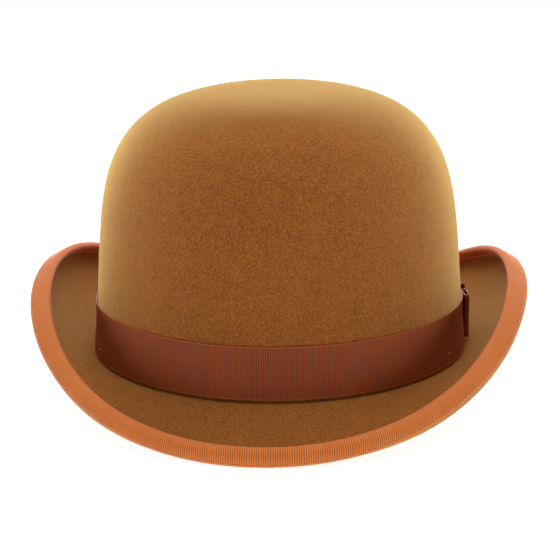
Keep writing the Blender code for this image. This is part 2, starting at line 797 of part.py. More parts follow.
# ---------------------------------------------------------------- the whole hat
def make_materials():
    return {
        "felt": make_material("wool_felt", (0.30, 0.13, 0.035), 0.95),
        "ribbon": make_material("band_grosgrain", (0.24, 0.06, 0.02), 0.75),
        "binding": make_material("binding_grosgrain", (0.50, 0.16, 0.04), 0.75),
        "thread": make_material("rust_thread", (0.40, 0.13, 0.04), 0.7),
        "leather": make_material("sweatband_leather", (0.22, 0.11, 0.05), 0.5),
        "reed": make_material("clear_reed", (0.75, 0.72, 0.65), 0.3),
        "tape": make_material("reed_tape_cotton", (0.35, 0.20, 0.10), 0.85),
        "satin": make_material("lining_satin", (0.45, 0.27, 0.12), 0.35),
        "guard": make_material("clear_sheet", (0.85, 0.85, 0.82), 0.1),
        "label": make_material("blank_label", (0.80, 0.76, 0.66), 0.6),
    }


def main():
    clear_scene()
    hat = make_collection("bowler_hat")
    cutters = make_collection("cutters")
    look = make_materials()

    make_felt_body(hat, look["felt"], cutters)
    make_brim_binding(hat, look["binding"])
    outer_face = FELT_INNER - RIBBON_OUTER - GAP - THREAD_RADIUS
    inner_face = RIBBON_OUTER + GAP + THREAD_RADIUS
    outer_inset = BINDING_OUTER_LEG - STITCH_INSET
    inner_inset = BINDING_INNER_LEG - STITCH_INSET
    make_binding_thread(hat, look["thread"], "binding_needle_thread", outer_inset, outer_face)
    make_binding_thread(hat, look["thread"], "binding_bobbin_thread", inner_inset, inner_face)
    make_hat_band(hat, look["ribbon"])
    for name, angle in TACK_ANGLES.items():
        make_band_tack(hat, look["thread"], name, angle)
    make_bow_loops(hat, look["ribbon"])
    make_bow_knot(hat, look["ribbon"])

    make_sweatband(hat, look["leather"])
    make_reed(hat, look["reed"])
    make_reed_tape(hat, look["tape"])
    make_sweatband_thread(hat, look["thread"])
    make_seam_thread(hat, look["thread"])
    make_back_bow(hat, look["ribbon"])
    make_size_label(hat, look["label"])
    make_lining_side(hat, look["satin"])
    make_lining_tip(hat, look["satin"])
    make_lining_piping(hat, look["satin"])
    make_tip_guard(hat, look["guard"])


main()
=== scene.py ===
"""Bowler hat: the fine surfaces, finishes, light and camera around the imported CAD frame.

Metres, +Z up. The hat stands on the underside of its brim at z = 0, its front towards -Y and
the wearer's left side, with the bow, towards +X.

Every piece that runs round the hat is spun as a flat ring and then blocked, as the CAD is.
In the flat ring the radius is a station along the hat's section (or HUB less a height or an
inset), and the height is the depth through the wall.
"""
import math
from bisect import bisect_right
from functools import lru_cache

import bmesh
import bpy
from mathutils import Matrix, Vector, noise


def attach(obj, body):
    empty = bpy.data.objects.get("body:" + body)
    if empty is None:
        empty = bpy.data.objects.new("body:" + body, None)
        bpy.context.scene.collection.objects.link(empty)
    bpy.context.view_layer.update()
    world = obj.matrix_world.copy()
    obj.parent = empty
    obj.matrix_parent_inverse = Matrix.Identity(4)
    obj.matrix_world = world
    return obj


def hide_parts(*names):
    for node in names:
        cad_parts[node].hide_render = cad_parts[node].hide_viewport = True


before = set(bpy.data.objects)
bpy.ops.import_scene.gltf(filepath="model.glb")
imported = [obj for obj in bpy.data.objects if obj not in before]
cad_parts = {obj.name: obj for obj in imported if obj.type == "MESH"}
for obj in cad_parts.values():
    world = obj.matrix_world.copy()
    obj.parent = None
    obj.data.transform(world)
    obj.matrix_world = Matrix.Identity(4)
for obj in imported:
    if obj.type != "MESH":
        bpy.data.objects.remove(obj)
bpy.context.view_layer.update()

TURN = 2.0 * math.pi

# ---------------------------------------------------------------- the CAD part's sizes
HEAD_HALF_WIDTH = 0.0838
HEAD_HALF_LENGTH = 0.1000
GAP = 0.0003
FELT = 0.0024
RIBBON = 0.00045
LINING = 0.0003
SWEATBAND_LEATHER = 0.0012
TIP_GUARD_SHEET = 0.00025
LABEL_SHEET = 0.0003

CROWN_HEIGHT = 0.1273
SHOULDER_HEIGHT = 0.0265
CROWN_TAPER = 0.066
CROWN_RISE_POWER = 4.5
CROWN_ROUND_POWER = 3.1
CROWN_LEAN = -0.0066
BREAK_RADIUS = 0.0022
BREAK_LINE_Z = 0.0158
BREAK_LINE_SET = -0.0027
BREAK_LINE_TILT = -0.0040

BRIM_OUT_SIDE = 0.0315
BRIM_OUT_END = 0.0408
BRIM_OUT_QUARTER = -0.0010
CURL_Z_SIDE = 0.0472
CURL_Z_REAR_RISE = 0.0226
LEAF_BOW_SIDE = math.radians(18.0)
LEAF_BOW_END = math.radians(3.0)
CURL_LOW_RADIUS_SIDE = 0.0100
CURL_LOW_RADIUS_END = 0.0044
CURL_TOP_RADIUS_SIDE = 0.0034
CURL_TOP_RADIUS_END = 0.0040
LIP_ANGLE_SIDE = math.radians(153.0)
LIP_ANGLE_END = math.radians(143.0)
LIP_LENGTH_SIDE = 0.0058
LIP_LENGTH_END = 0.0006
REST_PRESS = 0.0003

BAND_HEIGHT = 0.0240
BAND_LIFT = 0.0022
BINDING_OUTER_LEG = 0.0082
BINDING_INNER_LEG = 0.0055
STITCH_INSET = 0.0013
THREAD_RADIUS = 0.00022
BOW_ANGLE = math.radians(17.0)
BOW_HALF_LENGTH = 0.0260
BOW_HEIGHT = 0.0215
BOW_LOOP_DEPTH = 0.0022
BOW_PINCH_DEPTH = 0.0011
LOOP_FULL_SHARE = 0.62
KNOT_HALF_WIDTH = 0.0060
KNOT_CORNER = 0.0005

TACK_HEIGHT = 0.0070
TACK_LENGTH = 0.0018
TACK_ANGLES = {
    "right": math.radians(204.0), "left": math.radians(336.0), "rear": math.radians(90.0),
}

SWEATBAND_LOW = 0.0004
SWEATBAND_TOP = 0.0370
SWEATBAND_STITCH_HEIGHT = 0.0030
REED_RADIUS = 0.0008
REED_TAPE_SHEET = 0.0003
REED_TAPE_HEIGHT = 0.0085
LINING_LOW = 0.0120
LINING_TIP_STATION = 0.50
LINING_SEAM = 0.006
PIPING_RADIUS = 0.0006
TIP_GUARD_STATION = 0.43
BACK_BOW_HALF_LENGTH = 0.0110
BACK_BOW_WIDTH = 0.0060
BACK_BOW_HEIGHT = 0.0085
BACK_BOW_DEPTH = 0.0016
BACK_BOW_PINCH = 0.0009
LABEL_ANGLE = math.radians(72.0)
LABEL_HALF_LENGTH = 0.0130
LABEL_LOW = 0.0130
LABEL_TOP = 0.0250

HUB = 1.0
CHORD_ROUNDS = 40
STATION_STEP = 0.004

WALL_STACK = SWEATBAND_LEATHER + GAP + LINING + GAP + FELT
WALL_HALF_WIDTH = HEAD_HALF_WIDTH + WALL_STACK
WALL_HALF_LENGTH = HEAD_HALF_LENGTH + WALL_STACK
FELT_INNER = -FELT
LINING_OUTER = FELT_INNER - GAP
LINING_INNER = LINING_OUTER - LINING
SWEATBAND_OUTER = LINING_INNER - GAP
SWEATBAND_INNER = SWEATBAND_OUTER - SWEATBAND_LEATHER
RIBBON_INNER = GAP
RIBBON_OUTER = GAP + RIBBON
CURL_Z_END = CURL_LOW_RADIUS_END - REST_PRESS
DOME, WALL, BREAK, LEAF, LOW_CURL, TOP_CURL, LIP, EDGE = range(8)

# ---------------------------------------------------------------- fine detail of the finish
RIB_PITCH = 0.00103
RIB_HEIGHT = 0.00007
RIB_FACETS = 4
SELVAGE = 0.0007
SELVAGE_RISE = 0.00010
RIBBON_SHARP = 62.0

BINDING_PACE_INSET = 0.002
BAND_FLARE = 0.0013
BAND_FLARE_SHARE = 0.9
BAND_FLARE_POWER = 1.5
BAND_SLACK = 0.0005

THREAD_SHARP = 80.0
EDGE_STITCH = 0.0026
SWEATBAND_STITCH = 0.0032
STITCH_FACETS = 8
STITCH_DIP = 3.2 * THREAD_RADIUS
STITCH_HIDDEN_SHARE = 0.24
TACK_RADIUS = 0.0003

FELT_WAVER = 0.00010
FELT_WAVER_PER_METRE = 45.0

LOOP_GATHER_REACH = 0.0085
LOOP_FOLD_DEPTH = 0.00022
LOOP_SQUEEZE = 0.16
KNOT_FOLD_DEPTH = 0.00018
KNOT_SQUEEZE = 0.10
KNOT_SQUEEZE_REACH = 0.012
BACK_BOW_GATHER_REACH = 0.003
BACK_BOW_SQUEEZE = 0.3

SWEATBAND_ROLL = 0.0006
SWEATBAND_ROLL_FROM = 0.8
EMBOSS_HEIGHT = 0.0315
EMBOSS_DEPTH = 0.00022
EMBOSS_HALF_WIDTH = 0.0004
PLEATS = 40
PLEAT_DEPTH = 0.0009
PLEAT_DRIFT = 0.8
LABEL_END_LIFT = 0.00015

# A ring is spun, as a torus of radius one with a thinner tube, for one wedge; the wedge is
# copied round by these factors in turn and its ends are welded. A ring's steps are a whole
# number of wedges, and ribs and stitches come in groups so that they divide evenly.
TUBE = 0.4
WELD = 2e-5
WEDGE_COPIES = (3, 2, 2, 2, 2)
WEDGES = math.prod(WEDGE_COPIES)
ROUND_STEPS = 5 * WEDGES
SPIN_GROUP = 12


# ---------------------------------------------------------------- the hat's form
def mix(side, end, angle):
    """A size that changes smoothly from the hat's sides to its front and back."""
    return side + (end - side) * math.sin(angle) ** 2


def break_line(angle):
    """Height of the line where crown and brim meet, relative to its mean height."""
    across = math.sin(angle)
    return BREAK_LINE_SET * across ** 2 + BREAK_LINE_TILT * across


def curl_out(angle):
    """How far the outermost point of the brim stands out from the crown's wall."""
    quarter = math.sin(2.0 * angle) ** 2
    return mix(BRIM_OUT_SIDE, BRIM_OUT_END, angle) + BRIM_OUT_QUARTER * quarter


def curl_height(angle):
    """Height of the outermost point of the brim above the break line at this angle."""
    rise = CURL_Z_REAR_RISE * math.sin(angle) * math.cos(angle) ** 2
    above_table = mix(CURL_Z_SIDE, CURL_Z_END, angle) + rise
    return above_table - BREAK_LINE_Z - break_line(angle)


def arc_point(centre, radius, heading):
    """Point of an arc that turns left, where the section runs along the heading."""
    return (
        centre[0] + radius * math.sin(heading),
        centre[1] - radius * math.cos(heading),
    )


@lru_cache(maxsize=None)
def brim_section(angle):
    """The brim's section at one angle: break, leaf, two arcs of the curl and the lip."""
    low_radius = mix(CURL_LOW_RADIUS_SIDE, CURL_LOW_RADIUS_END, angle)
    top_radius = mix(CURL_TOP_RADIUS_SIDE, CURL_TOP_RADIUS_END, angle)
    outermost = (curl_out(angle), curl_height(angle))
    low_centre = (outermost[0] - low_radius, outermost[1])
    top_centre = (outermost[0] - top_radius, outermost[1])
    break_centre = (BREAK_RADIUS, BREAK_RADIUS)
    bow = mix(LEAF_BOW_SIDE, LEAF_BOW_END, angle)
    chord = math.atan2(outermost[1], outermost[0])
    for _ in range(CHORD_ROUNDS):
        start = arc_point(break_centre, BREAK_RADIUS, chord - bow)
        finish = arc_point(low_centre, low_radius - FELT, chord + bow)
        chord = math.atan2(finish[1] - start[1], finish[0] - start[0])
    start = arc_point(break_centre, BREAK_RADIUS, chord - bow)
    finish = arc_point(low_centre, low_radius - FELT, chord + bow)
    return {
        "break_centre": break_centre,
        "leaf_start": start,
        "leaf_radius": math.dist(start, finish) / (2.0 * math.sin(bow)),
        "leaf_from": chord - bow,
        "leaf_to": chord + bow,
        "low_centre": low_centre,
        "low_radius": low_radius,
        "top_centre": top_centre,
        "top_radius": top_radius,
        "lip_angle": mix(LIP_ANGLE_SIDE, LIP_ANGLE_END, angle),
        "lip_length": mix(LIP_LENGTH_SIDE, LIP_LENGTH_END, angle),
    }


def dome_outline(share):
    """Section of the crown above its wall, from the tip (0) down to the wall (1)."""
    turn = (1.0 - share) * math.pi / 2.0
    rise = math.sin(turn) ** (2.0 / CROWN_RISE_POWER)
    width = max(0.0, math.cos(turn)) ** (2.0 / CROWN_ROUND_POWER)
    out = WALL_HALF_WIDTH * ((1.0 - CROWN_TAPER * rise) * width - 1.0)
    height = SHOULDER_HEIGHT + (CROWN_HEIGHT - SHOULDER_HEIGHT) * rise
    return out, height


def dome_point(share):
    """Point of the dome and the direction in which its section runs there."""
    low = dome_outline(max(0.0, share - STATION_STEP))
    high = dome_outline(min(1.0, share + STATION_STEP))
    heading = math.atan2(high[1] - low[1], high[0] - low[0])
    if share <= 0.0:
        heading = 0.0
    if share >= 1.0:
        heading = -math.pi / 2.0
    return dome_outline(share), heading


def section_point(angle, station):
    """Point of the felt's outer face at a station, and the heading of the section."""
    zone = min(int(station), LIP)
    share = station - zone
    if zone == DOME:
        return dome_point(share)
    if zone == WALL:
        height = SHOULDER_HEIGHT + (BREAK_RADIUS - SHOULDER_HEIGHT) * share
        return (0.0, height), -math.pi / 2.0
    brim = brim_section(round(angle, 5))
    if zone == BREAK:
        heading = -math.pi / 2.0 + (brim["leaf_from"] + math.pi / 2.0) * share
        return arc_point(brim["break_centre"], BREAK_RADIUS, heading), heading
    if zone == LEAF:
        heading = brim["leaf_from"] + (brim["leaf_to"] - brim["leaf_from"]) * share
        begin = arc_point((0.0, 0.0), brim["leaf_radius"], brim["leaf_from"])
        here = arc_point((0.0, 0.0), brim["leaf_radius"], heading)
        out = brim["leaf_start"][0] + here[0] - begin[0]
        height = brim["leaf_start"][1] + here[1] - begin[1]
        return (out, height), heading
    if zone == LOW_CURL:
        heading = brim["leaf_to"] + (math.pi / 2.0 - brim["leaf_to"]) * share
        return arc_point(brim["low_centre"], brim["low_radius"] - FELT, heading), heading
    if zone == TOP_CURL:
        heading = math.pi / 2.0 + (brim["lip_angle"] - math.pi / 2.0) * share
        return arc_point(brim["top_centre"], brim["top_radius"] - FELT, heading), heading
    heading = brim["lip_angle"]
    root = arc_point(brim["top_centre"], brim["top_radius"] - FELT, heading)
    reach = brim["lip_length"] * share
    return (root[0] + reach * math.cos(heading), root[1] + reach * math.sin(heading)), heading


def set_on_form(angle, point, heading, depth):
    """Place in the hat of a point of the section, raised by depth along its normal."""
    out = point[0] - depth * math.sin(heading)
    height = point[1] + depth * math.cos(heading)
    half_width = WALL_HALF_WIDTH + out
    half_length = WALL_HALF_LENGTH + out
    if out < 0.0:
        excess = WALL_HALF_LENGTH - WALL_HALF_WIDTH
        half_length -= excess * (-out / WALL_HALF_WIDTH) ** 3
    up = min(1.0, max(0.0, height / CROWN_HEIGHT))
    return Vector((
        half_width * math.cos(angle),
        half_length * math.sin(angle) + CROWN_LEAN * up,
        max(0.0, BREAK_LINE_Z + height + break_line(angle) * (1.0 - up)),
    ))


def block(angle, station, depth):
    """Lay a point of a flat ring on the hat's form."""
    point, heading = section_point(angle, station)
    return set_on_form(angle, point, heading, depth)


def edge_point(angle, inset):
    """Point of the section, and its heading, by distance from the felt's edge."""
    brim = brim_section(round(angle, 5))
    if inset < 0.0:
        point, heading = section_point(angle, float(EDGE))
        return (point[0] - inset * math.cos(heading), point[1] - inset * math.sin(heading)), heading
    if inset <= brim["lip_length"]:
        return section_point(angle, EDGE - inset / brim["lip_length"])
    turned = (inset - brim["lip_length"]) / brim["top_radius"]
    full_turn = brim["lip_angle"] - math.pi / 2.0
    if turned <= full_turn:
        return section_point(angle, LIP - turned / full_turn)
    left = (turned - full_turn) * brim["top_radius"] / brim["low_radius"]
    return section_point(angle, TOP_CURL - left / (math.pi / 2.0 - brim["leaf_to"]))


def block_from_edge(angle, inset, depth):
    """Lay a point on the brim, by its distance from the felt's edge along the underside."""
    point, heading = edge_point(angle, inset)
    return set_on_form(angle, point, heading, depth)


def station_at(height):
    """Station of the crown at a height above the break line."""
    if height <= SHOULDER_HEIGHT:
        return WALL + (SHOULDER_HEIGHT - height) / (SHOULDER_HEIGHT - BREAK_RADIUS)
    rise = (height - SHOULDER_HEIGHT) / (CROWN_HEIGHT - SHOULDER_HEIGHT)
    return 1.0 - math.asin(rise ** (CROWN_RISE_POWER / 2.0)) / (math.pi / 2.0)


def wall_place(angle, height, depth):
    """Place on the crown's wall, by height above the break line and by depth."""
    if height < BREAK_RADIUS:
        return set_on_form(angle, (0.0, height), -math.pi / 2.0, depth)
    return block(angle, station_at(height), depth)


def wall_angle(centre_angle, along):
    """Angle of a place that lies a distance along the wall from a centre."""
    speed = math.hypot(
        WALL_HALF_WIDTH * math.sin(centre_angle),
        WALL_HALF_LENGTH * math.cos(centre_angle),
    )
    return centre_angle + along / speed


def spread(low, high, steps):
    """Evenly spaced values from low to high, both included."""
    return [low + (high - low) * index / steps for index in range(steps + 1)]


def smooth(value):
    """Eases a share from 0 to 1, with level ends."""
    share = min(1.0, max(0.0, value))
    return share * share * (3.0 - 2.0 * share)


class Pace:
    """Angles at equal steps of length along a path round the hat."""

    def __init__(self, place_at, samples=1440):
        self.angles = [TURN * index / samples for index in range(samples + 1)]
        places = [place_at(angle) for angle in self.angles]
        self.lengths = [0.0]
        for here, there in zip(places, places[1:]):
            self.lengths.append(self.lengths[-1] + (there - here).length)
        self.length = self.lengths[-1]

    def angle(self, share):
        target = (share % 1.0) * self.length
        index = min(bisect_right(self.lengths, target), len(self.lengths) - 1) - 1
        part = (target - self.lengths[index]) / (self.lengths[index + 1] - self.lengths[index])
        return self.angles[index] + part * (self.angles[index + 1] - self.angles[index])


# ---------------------------------------------------------------- node trees
VALUE, VECTOR = "NodeSocketFloat", "NodeSocketVector"


def colour(red, green, blue):
    return (red, green, blue, 1.0)


class Nodes:
    """Adds nodes to one tree. Inputs are numbers, colours, vectors or other nodes' sockets."""

    def __init__(self, tree):
        self.tree = tree

    def link(self, source, target):
        self.tree.links.new(source, target)

    def add(self, kind, inputs=None, **settings):
        """Add a node, set its properties, and set or link its inputs by name or number."""
        made = self.tree.nodes.new("ShaderNode" + kind)
        for name, value in settings.items():
            setattr(made, name, value)
        for name, value in (inputs or {}).items():
            if isinstance(value, bpy.types.NodeSocket):
                self.link(value, made.inputs[name])
            else:
                made.inputs[name].default_value = value
        return made

    def math(self, operation, first, second=0.0, third=0.0):
        inputs = {0: first, 1: second, 2: third}
        return self.add("Math", inputs, operation=operation).outputs[0]

    def plus(self, first, second):
        return self.math("ADD", first, second)

    def times(self, first, second):
        return self.math("MULTIPLY", first, second)

    def blend(self, share, first, second, weight=None):
        """Colour that changes from the first to the second with the share, scaled by weight."""
        if weight is not None:
            share = self.times(share, weight)
        return self.add("Mix", {0: share, 6: first, 7: second}, data_type="RGBA").outputs[2]

    def remap(self, value, low, high, to_low=0.0, to_high=1.0):
        return self.add("MapRange", {
            "Value": value, "From Min": low, "From Max": high, "To Min": to_low, "To Max": to_high,
        }).outputs["Result"]

    def noise(self, vector, scale, detail=2.0, roughness=0.5):
        return self.add("TexNoise", {
            "Vector": vector, "Scale": scale, "Detail": detail, "Roughness": roughness,
        }).outputs["Fac"]

    def diagonal_waves(self, vector, scale, distortion):
        inputs = {"Vector": vector, "Scale": scale, "Distortion": distortion}
        return self.add("TexWave", inputs, bands_direction="DIAGONAL").outputs["Fac"]

    def stretched(self, vector, scale):
        """A vector scaled along each axis, to stretch a pattern."""
        return self.add("Mapping", {"Vector": vector, "Scale": scale}).outputs["Vector"]

    def parts(self, vector):
        return self.add("SeparateXYZ", {0: vector}).outputs

    def group(self, group, inputs):
        return self.add("Group", inputs, node_tree=group).outputs


def make_group(name, inputs, outputs, build):
    """A node group; inputs hold (name, socket type, default value), outputs names of values.

    build(nodes, given) returns the outputs' sockets in order.
    """
    tree = bpy.data.node_groups.new(name, "ShaderNodeTree")
    for label, kind, value in inputs:
        socket = tree.interface.new_socket(name=label, in_out="INPUT", socket_type=kind)
        if value is not None:
            socket.default_value = value
    for label in outputs:
        tree.interface.new_socket(name=label, in_out="OUTPUT", socket_type=VALUE)
    nodes = Nodes(tree)
    given, result = (tree.nodes.new("NodeGroup" + side) for side in ("Input", "Output"))
    for label, socket in zip(outputs, build(nodes, given.outputs)):
        nodes.link(socket, result.inputs[label])
    return tree


def felted_fibres(nodes, given):
    """Felted wool: short matted fibres that lie in every direction over soft clouds."""
    vector, per_metre = given["Vector"], given["Fibres Per Metre"]
    twist = nodes.add("TexNoise", {"Vector": vector, "Scale": FIBRE_TWISTS_PER_METRE, "Detail": 1.0})
    offset = nodes.add("VectorMath", {0: twist.outputs["Color"], 1: (0.5, 0.5, 0.5)},
                       operation="SUBTRACT").outputs[0]
    bent = nodes.add("VectorMath", {0: offset, "Scale": FIBRE_BEND}, operation="SCALE").outputs[0]
    lain = nodes.add("VectorMath", {0: vector, 1: bent}, operation="ADD").outputs[0]
    upright, level = (nodes.noise(nodes.stretched(lain, scale), per_metre, 3.0, 0.6)
                      for scale in (FIBRES_UPRIGHT, FIBRES_LEVEL))
    matted = nodes.math("MAXIMUM", upright, level)
    clouds = nodes.noise(vector, given["Clouds Per Metre"], 4.0, 0.55)
    fine = nodes.noise(vector, nodes.times(per_metre, 2.6))
    speck = nodes.plus(nodes.times(matted, 0.6), nodes.times(fine, 0.4))
    height = nodes.plus(matted, nodes.times(fine, 0.5))
    return nodes.remap(speck, 0.46, 0.68), nodes.remap(clouds, 0.36, 0.66), height


def grosgrain_ribs(nodes, given):
    """Grosgrain: weft ribs across the ribbon (one per unit of U) bound by fine warp threads."""
    along, across, _ = nodes.parts(given["UV"])
    turns = nodes.times(along, TURN)
    wave = nodes.math("COSINE", turns)
    warp_turns = nodes.times(nodes.times(across, given["Warp Per Metre"]), TURN)
    ticks = nodes.math("SINE", nodes.plus(warp_turns, nodes.times(turns, 0.5)))
    rib_number = nodes.math("FLOOR", nodes.plus(along, 0.5))
    place = nodes.add("CombineXYZ", {
        "X": nodes.times(rib_number, 3.7), "Y": nodes.times(across, 90.0),
    })
    slub = nodes.noise(place.outputs[0], 1.0)
    from_one, from_two = (
        nodes.math("ABSOLUTE", nodes.math("SUBTRACT", across, given[edge]))
        for edge in ("Edge One", "Edge Two")
    )
    beside = nodes.math("MINIMUM", from_one, from_two)
    selvage = nodes.remap(beside, 0.0002, 0.0005, 1.0, 0.0)
    height = nodes.plus(nodes.times(ticks, 0.35), wave)
    # The first output is a mask of painted shade in the grooves between the ribs.
    return nodes.remap(wave, 0.35, -1.0), nodes.remap(slub, 0.35, 0.65), selvage, height


def dye_variation(nodes, given):
    """Slow change of tone over a surface, as handling and dye leave it."""
    broad = nodes.noise(given["Vector"], given["Per Metre"], 3.0)
    return (nodes.remap(broad, 0.34, 0.66),)


FIBRE_TWISTS_PER_METRE = 260.0
FIBRE_BEND = 0.0022
FIBRES_UPRIGHT = (1.0, 1.0, 0.38)
FIBRES_LEVEL = (0.42, 0.42, 1.1)
FIBRES = make_group("felted_fibres", [
    ("Vector", VECTOR, None), ("Fibres Per Metre", VALUE, 900.0), ("Clouds Per Metre", VALUE, 120.0),
], ("Fibres", "Clouds", "Height"), felted_fibres)
RIBS = make_group("grosgrain_ribs", [
    ("UV", VECTOR, None), ("Warp Per Metre", VALUE, 2400.0), ("Edge One", VALUE, 0.0),
    ("Edge Two", VALUE, 0.0),
], ("Groove Shade", "Slub", "Selvage", "Height"), grosgrain_ribs)
DYE = make_group("dye_variation", [
    ("Vector", VECTOR, None), ("Per Metre", VALUE, 18.0),
], ("Tone",), dye_variation)


class Finish(Nodes):
    """A material with its Principled shader, whose constants are set on its own sockets."""

    def __init__(self, name, **constants):
        self.material = bpy.data.materials.new(name)
        self.material.use_nodes = True
        super().__init__(self.material.node_tree)
        self.shader = self.tree.nodes["Principled BSDF"]
        for label, value in constants.items():
            self.shader.inputs[label.replace("_", " ")].default_value = value

    def coordinates(self, output="Object"):
        return self.add("TexCoord").outputs[output]

    def dye(self, per_metre):
        return self.group(DYE, {"Vector": self.coordinates(), "Per Metre": per_metre})["Tone"]

    def roughness(self, socket):
        self.link(socket, self.shader.inputs["Roughness"])

    def dressed(self, base, height=None, strength=0.0, depth=0.0):
        """The material, once its colour, and the relief if it has one, reach the shader."""
        self.link(base, self.shader.inputs["Base Color"])
        if height is not None:
            relief = self.add("Bump", {"Height": height, "Strength": strength, "Distance": depth})
            self.link(relief.outputs["Normal"], self.shader.inputs["Normal"])
        return self.material


# ---------------------------------------------------------------- materials
def make_felt(dark, middle, light, tip):
    """Camel wool felt with a short nap that catches light at grazing angles."""
    felt = Finish(
        "camel_wool_felt", Roughness=0.95, Sheen_Weight=1.0, Sheen_Roughness=0.39,
        Sheen_Tint=colour(1.0, 0.69, 0.24), Specular_IOR_Level=0.12,
    )
    fibres = felt.group(FIBRES, {
        "Vector": felt.coordinates(), "Fibres Per Metre": 1900.0, "Clouds Per Metre": 150.0,
    })
    ground = felt.blend(felt.dye(22.0), dark, middle)
    clouded = felt.blend(fibres["Clouds"], ground, light, 0.35)
    matted = felt.blend(fibres["Fibres"], clouded, tip, 0.8)
    return felt.dressed(matted, fibres["Height"], 0.45, 0.0004)


def make_grosgrain(name, deep, plain, lit, edges, sheen_tint, sheen):
    """Ribbon dyed one colour, with painted shade darkening the grooves, lighter along its selvages.

    edges holds the places of the two selvages along V.
    """
    ribbon = Finish(name, Roughness=0.62, Sheen_Weight=sheen, Sheen_Roughness=0.35,
                    Sheen_Tint=sheen_tint, Specular_IOR_Level=0.3)
    ribs = ribbon.group(RIBS, {
        "UV": ribbon.coordinates("UV"), "Warp Per Metre": WARP_PER_METRE,
        "Edge One": edges[0], "Edge Two": edges[1],
    })
    selvage = colour(*(min(1.0, SELVAGE_TINT * value) for value in lit[:3]))
    ground = ribbon.blend(ribbon.dye(40.0), plain, lit, 0.5)
    slubbed = ribbon.blend(ribs["Slub"], ground, lit, 0.35)
    # Painted shade: the ribbon is blended towards the deep colour in the grooves between the ribs.
    groove_shaded = ribbon.blend(ribs["Groove Shade"], slubbed, deep, 0.8)
    edged = ribbon.blend(ribs["Selvage"], groove_shaded, selvage, 0.6)
    return ribbon.dressed(edged, ribs["Height"], 0.35, 0.00006)


def make_thread_material(name, dark, light):
    """Twisted sewing thread."""
    thread = Finish(name, Roughness=0.5, Sheen_Weight=0.3)
    twist = thread.diagonal_waves(thread.stretched(thread.coordinates(), (1.0, 1.0, 1.6)), 420.0, 1.0)
    return thread.dressed(thread.blend(twist, dark, light), twist, 0.5, 0.0001)


def make_leather(deep, tan, creased, seam_shadow):
    """Tan sweatband leather: fine pores, soft creases and a darker seam at the back."""
    leather = Finish("sweatband_leather", Coat_Weight=0.12, Coat_Roughness=0.35,
                     Specular_IOR_Level=0.4)
    vector = leather.coordinates()
    pores = leather.add("TexVoronoi", {"Vector": vector, "Scale": 1500.0})
    creases = leather.add("TexVoronoi", {
        "Vector": leather.stretched(vector, (1.0, 1.0, 1.8)), "Scale": 420.0,
    }, feature="DISTANCE_TO_EDGE")
    dye = leather.dye(30.0)
    crease = leather.remap(creases.outputs["Distance"], 0.0, 0.08, 1.0, 0.0)
    lined = leather.blend(crease, leather.blend(dye, deep, tan), creased, 0.35)
    across, back, _ = leather.parts(vector)
    behind = leather.math("GREATER_THAN", back, 0.0)
    beside = leather.remap(leather.math("ABSOLUTE", across), 0.00012, 0.0003, 1.0, 0.0)
    finished = leather.blend(leather.times(behind, beside), lined, seam_shadow)
    leather.roughness(leather.remap(dye, 0.0, 1.0, 0.42, 0.56))
    relief = leather.math("SUBTRACT", pores.outputs["Distance"], leather.times(crease, 0.8))
    return leather.dressed(finished, relief, 0.5, 0.00012)


def make_satin(deep, plain, bright):
    """Lining satin: long floats that give a soft gleam, with the odd slub."""
    satin = Finish(
        "lining_satin", Roughness=0.33, Sheen_Weight=0.35, Sheen_Roughness=0.3,
        Sheen_Tint=colour(1.0, 0.85, 0.6), Specular_IOR_Level=0.55,
    )
    floats = satin.noise(satin.stretched(satin.coordinates("UV"), (2600.0, 60.0, 1.0)), 1.0, 3.0)
    ground = satin.blend(satin.dye(26.0), deep, plain)
    threads = satin.blend(satin.remap(floats, 0.35, 0.65, 0.0, 0.3), ground, bright)
    return satin.dressed(threads, floats, 0.25, 0.00008)


def make_tape_cotton(dark, light):
    """Herringbone cotton tape round the reed."""
    tape = Finish("reed_tape_cotton", Roughness=0.9, Sheen_Weight=0.3)
    twill = tape.diagonal_waves(tape.coordinates("UV"), 500.0, 0.4)
    return tape.dressed(tape.blend(twill, dark, light), twill, 0.5, 0.0001)


def make_reed_plastic(dark, light):
    """Milky filament of the reed."""
    reed = Finish("clear_reed", Roughness=0.28, Transmission_Weight=0.35, Coat_Weight=0.3)
    return reed.dressed(reed.blend(reed.noise(reed.coordinates(), 300.0), dark, light))


def make_clear_sheet(dark, light):
    """Thin clear film with faint scuffs."""
    film = Finish("clear_sheet", IOR=1.05, Transmission_Weight=1.0, Coat_Weight=0.5,
                  Coat_Roughness=0.06)
    scuffs = film.noise(film.stretched(film.coordinates(), (1.0, 0.2, 1.0)), 500.0, 4.0)
    film.roughness(film.remap(scuffs, 0.45, 0.75, 0.04, 0.28))
    return film.dressed(film.blend(scuffs, dark, light))


def make_label_cloth(pale, dark, border):
    """Blank woven label with a darker woven border."""
    label = Finish("blank_label", Roughness=0.75, Sheen_Weight=0.25)
    uv = label.coordinates("UV")
    weave = label.add("TexChecker", {"Vector": uv, "Scale": 4200.0}).outputs["Fac"]
    along, across, _ = label.parts(uv)
    from_middle = label.math("SUBTRACT", across, (LABEL_LOW + LABEL_TOP) / 2.0)
    from_end = label.math("SUBTRACT", LABEL_HALF_LENGTH, label.math("ABSOLUTE", along))
    from_side = label.math("SUBTRACT", (LABEL_TOP - LABEL_LOW) / 2.0,
                           label.math("ABSOLUTE", from_middle))
    inset = label.math("MINIMUM", from_end, from_side)
    line = label.math("COMPARE", inset, LABEL_LINE_INSET, LABEL_LINE_HALF_WIDTH)
    bordered = label.blend(line, label.blend(weave, pale, dark, 0.25), border)
    return label.dressed(bordered, weave, 0.3, 0.00005)


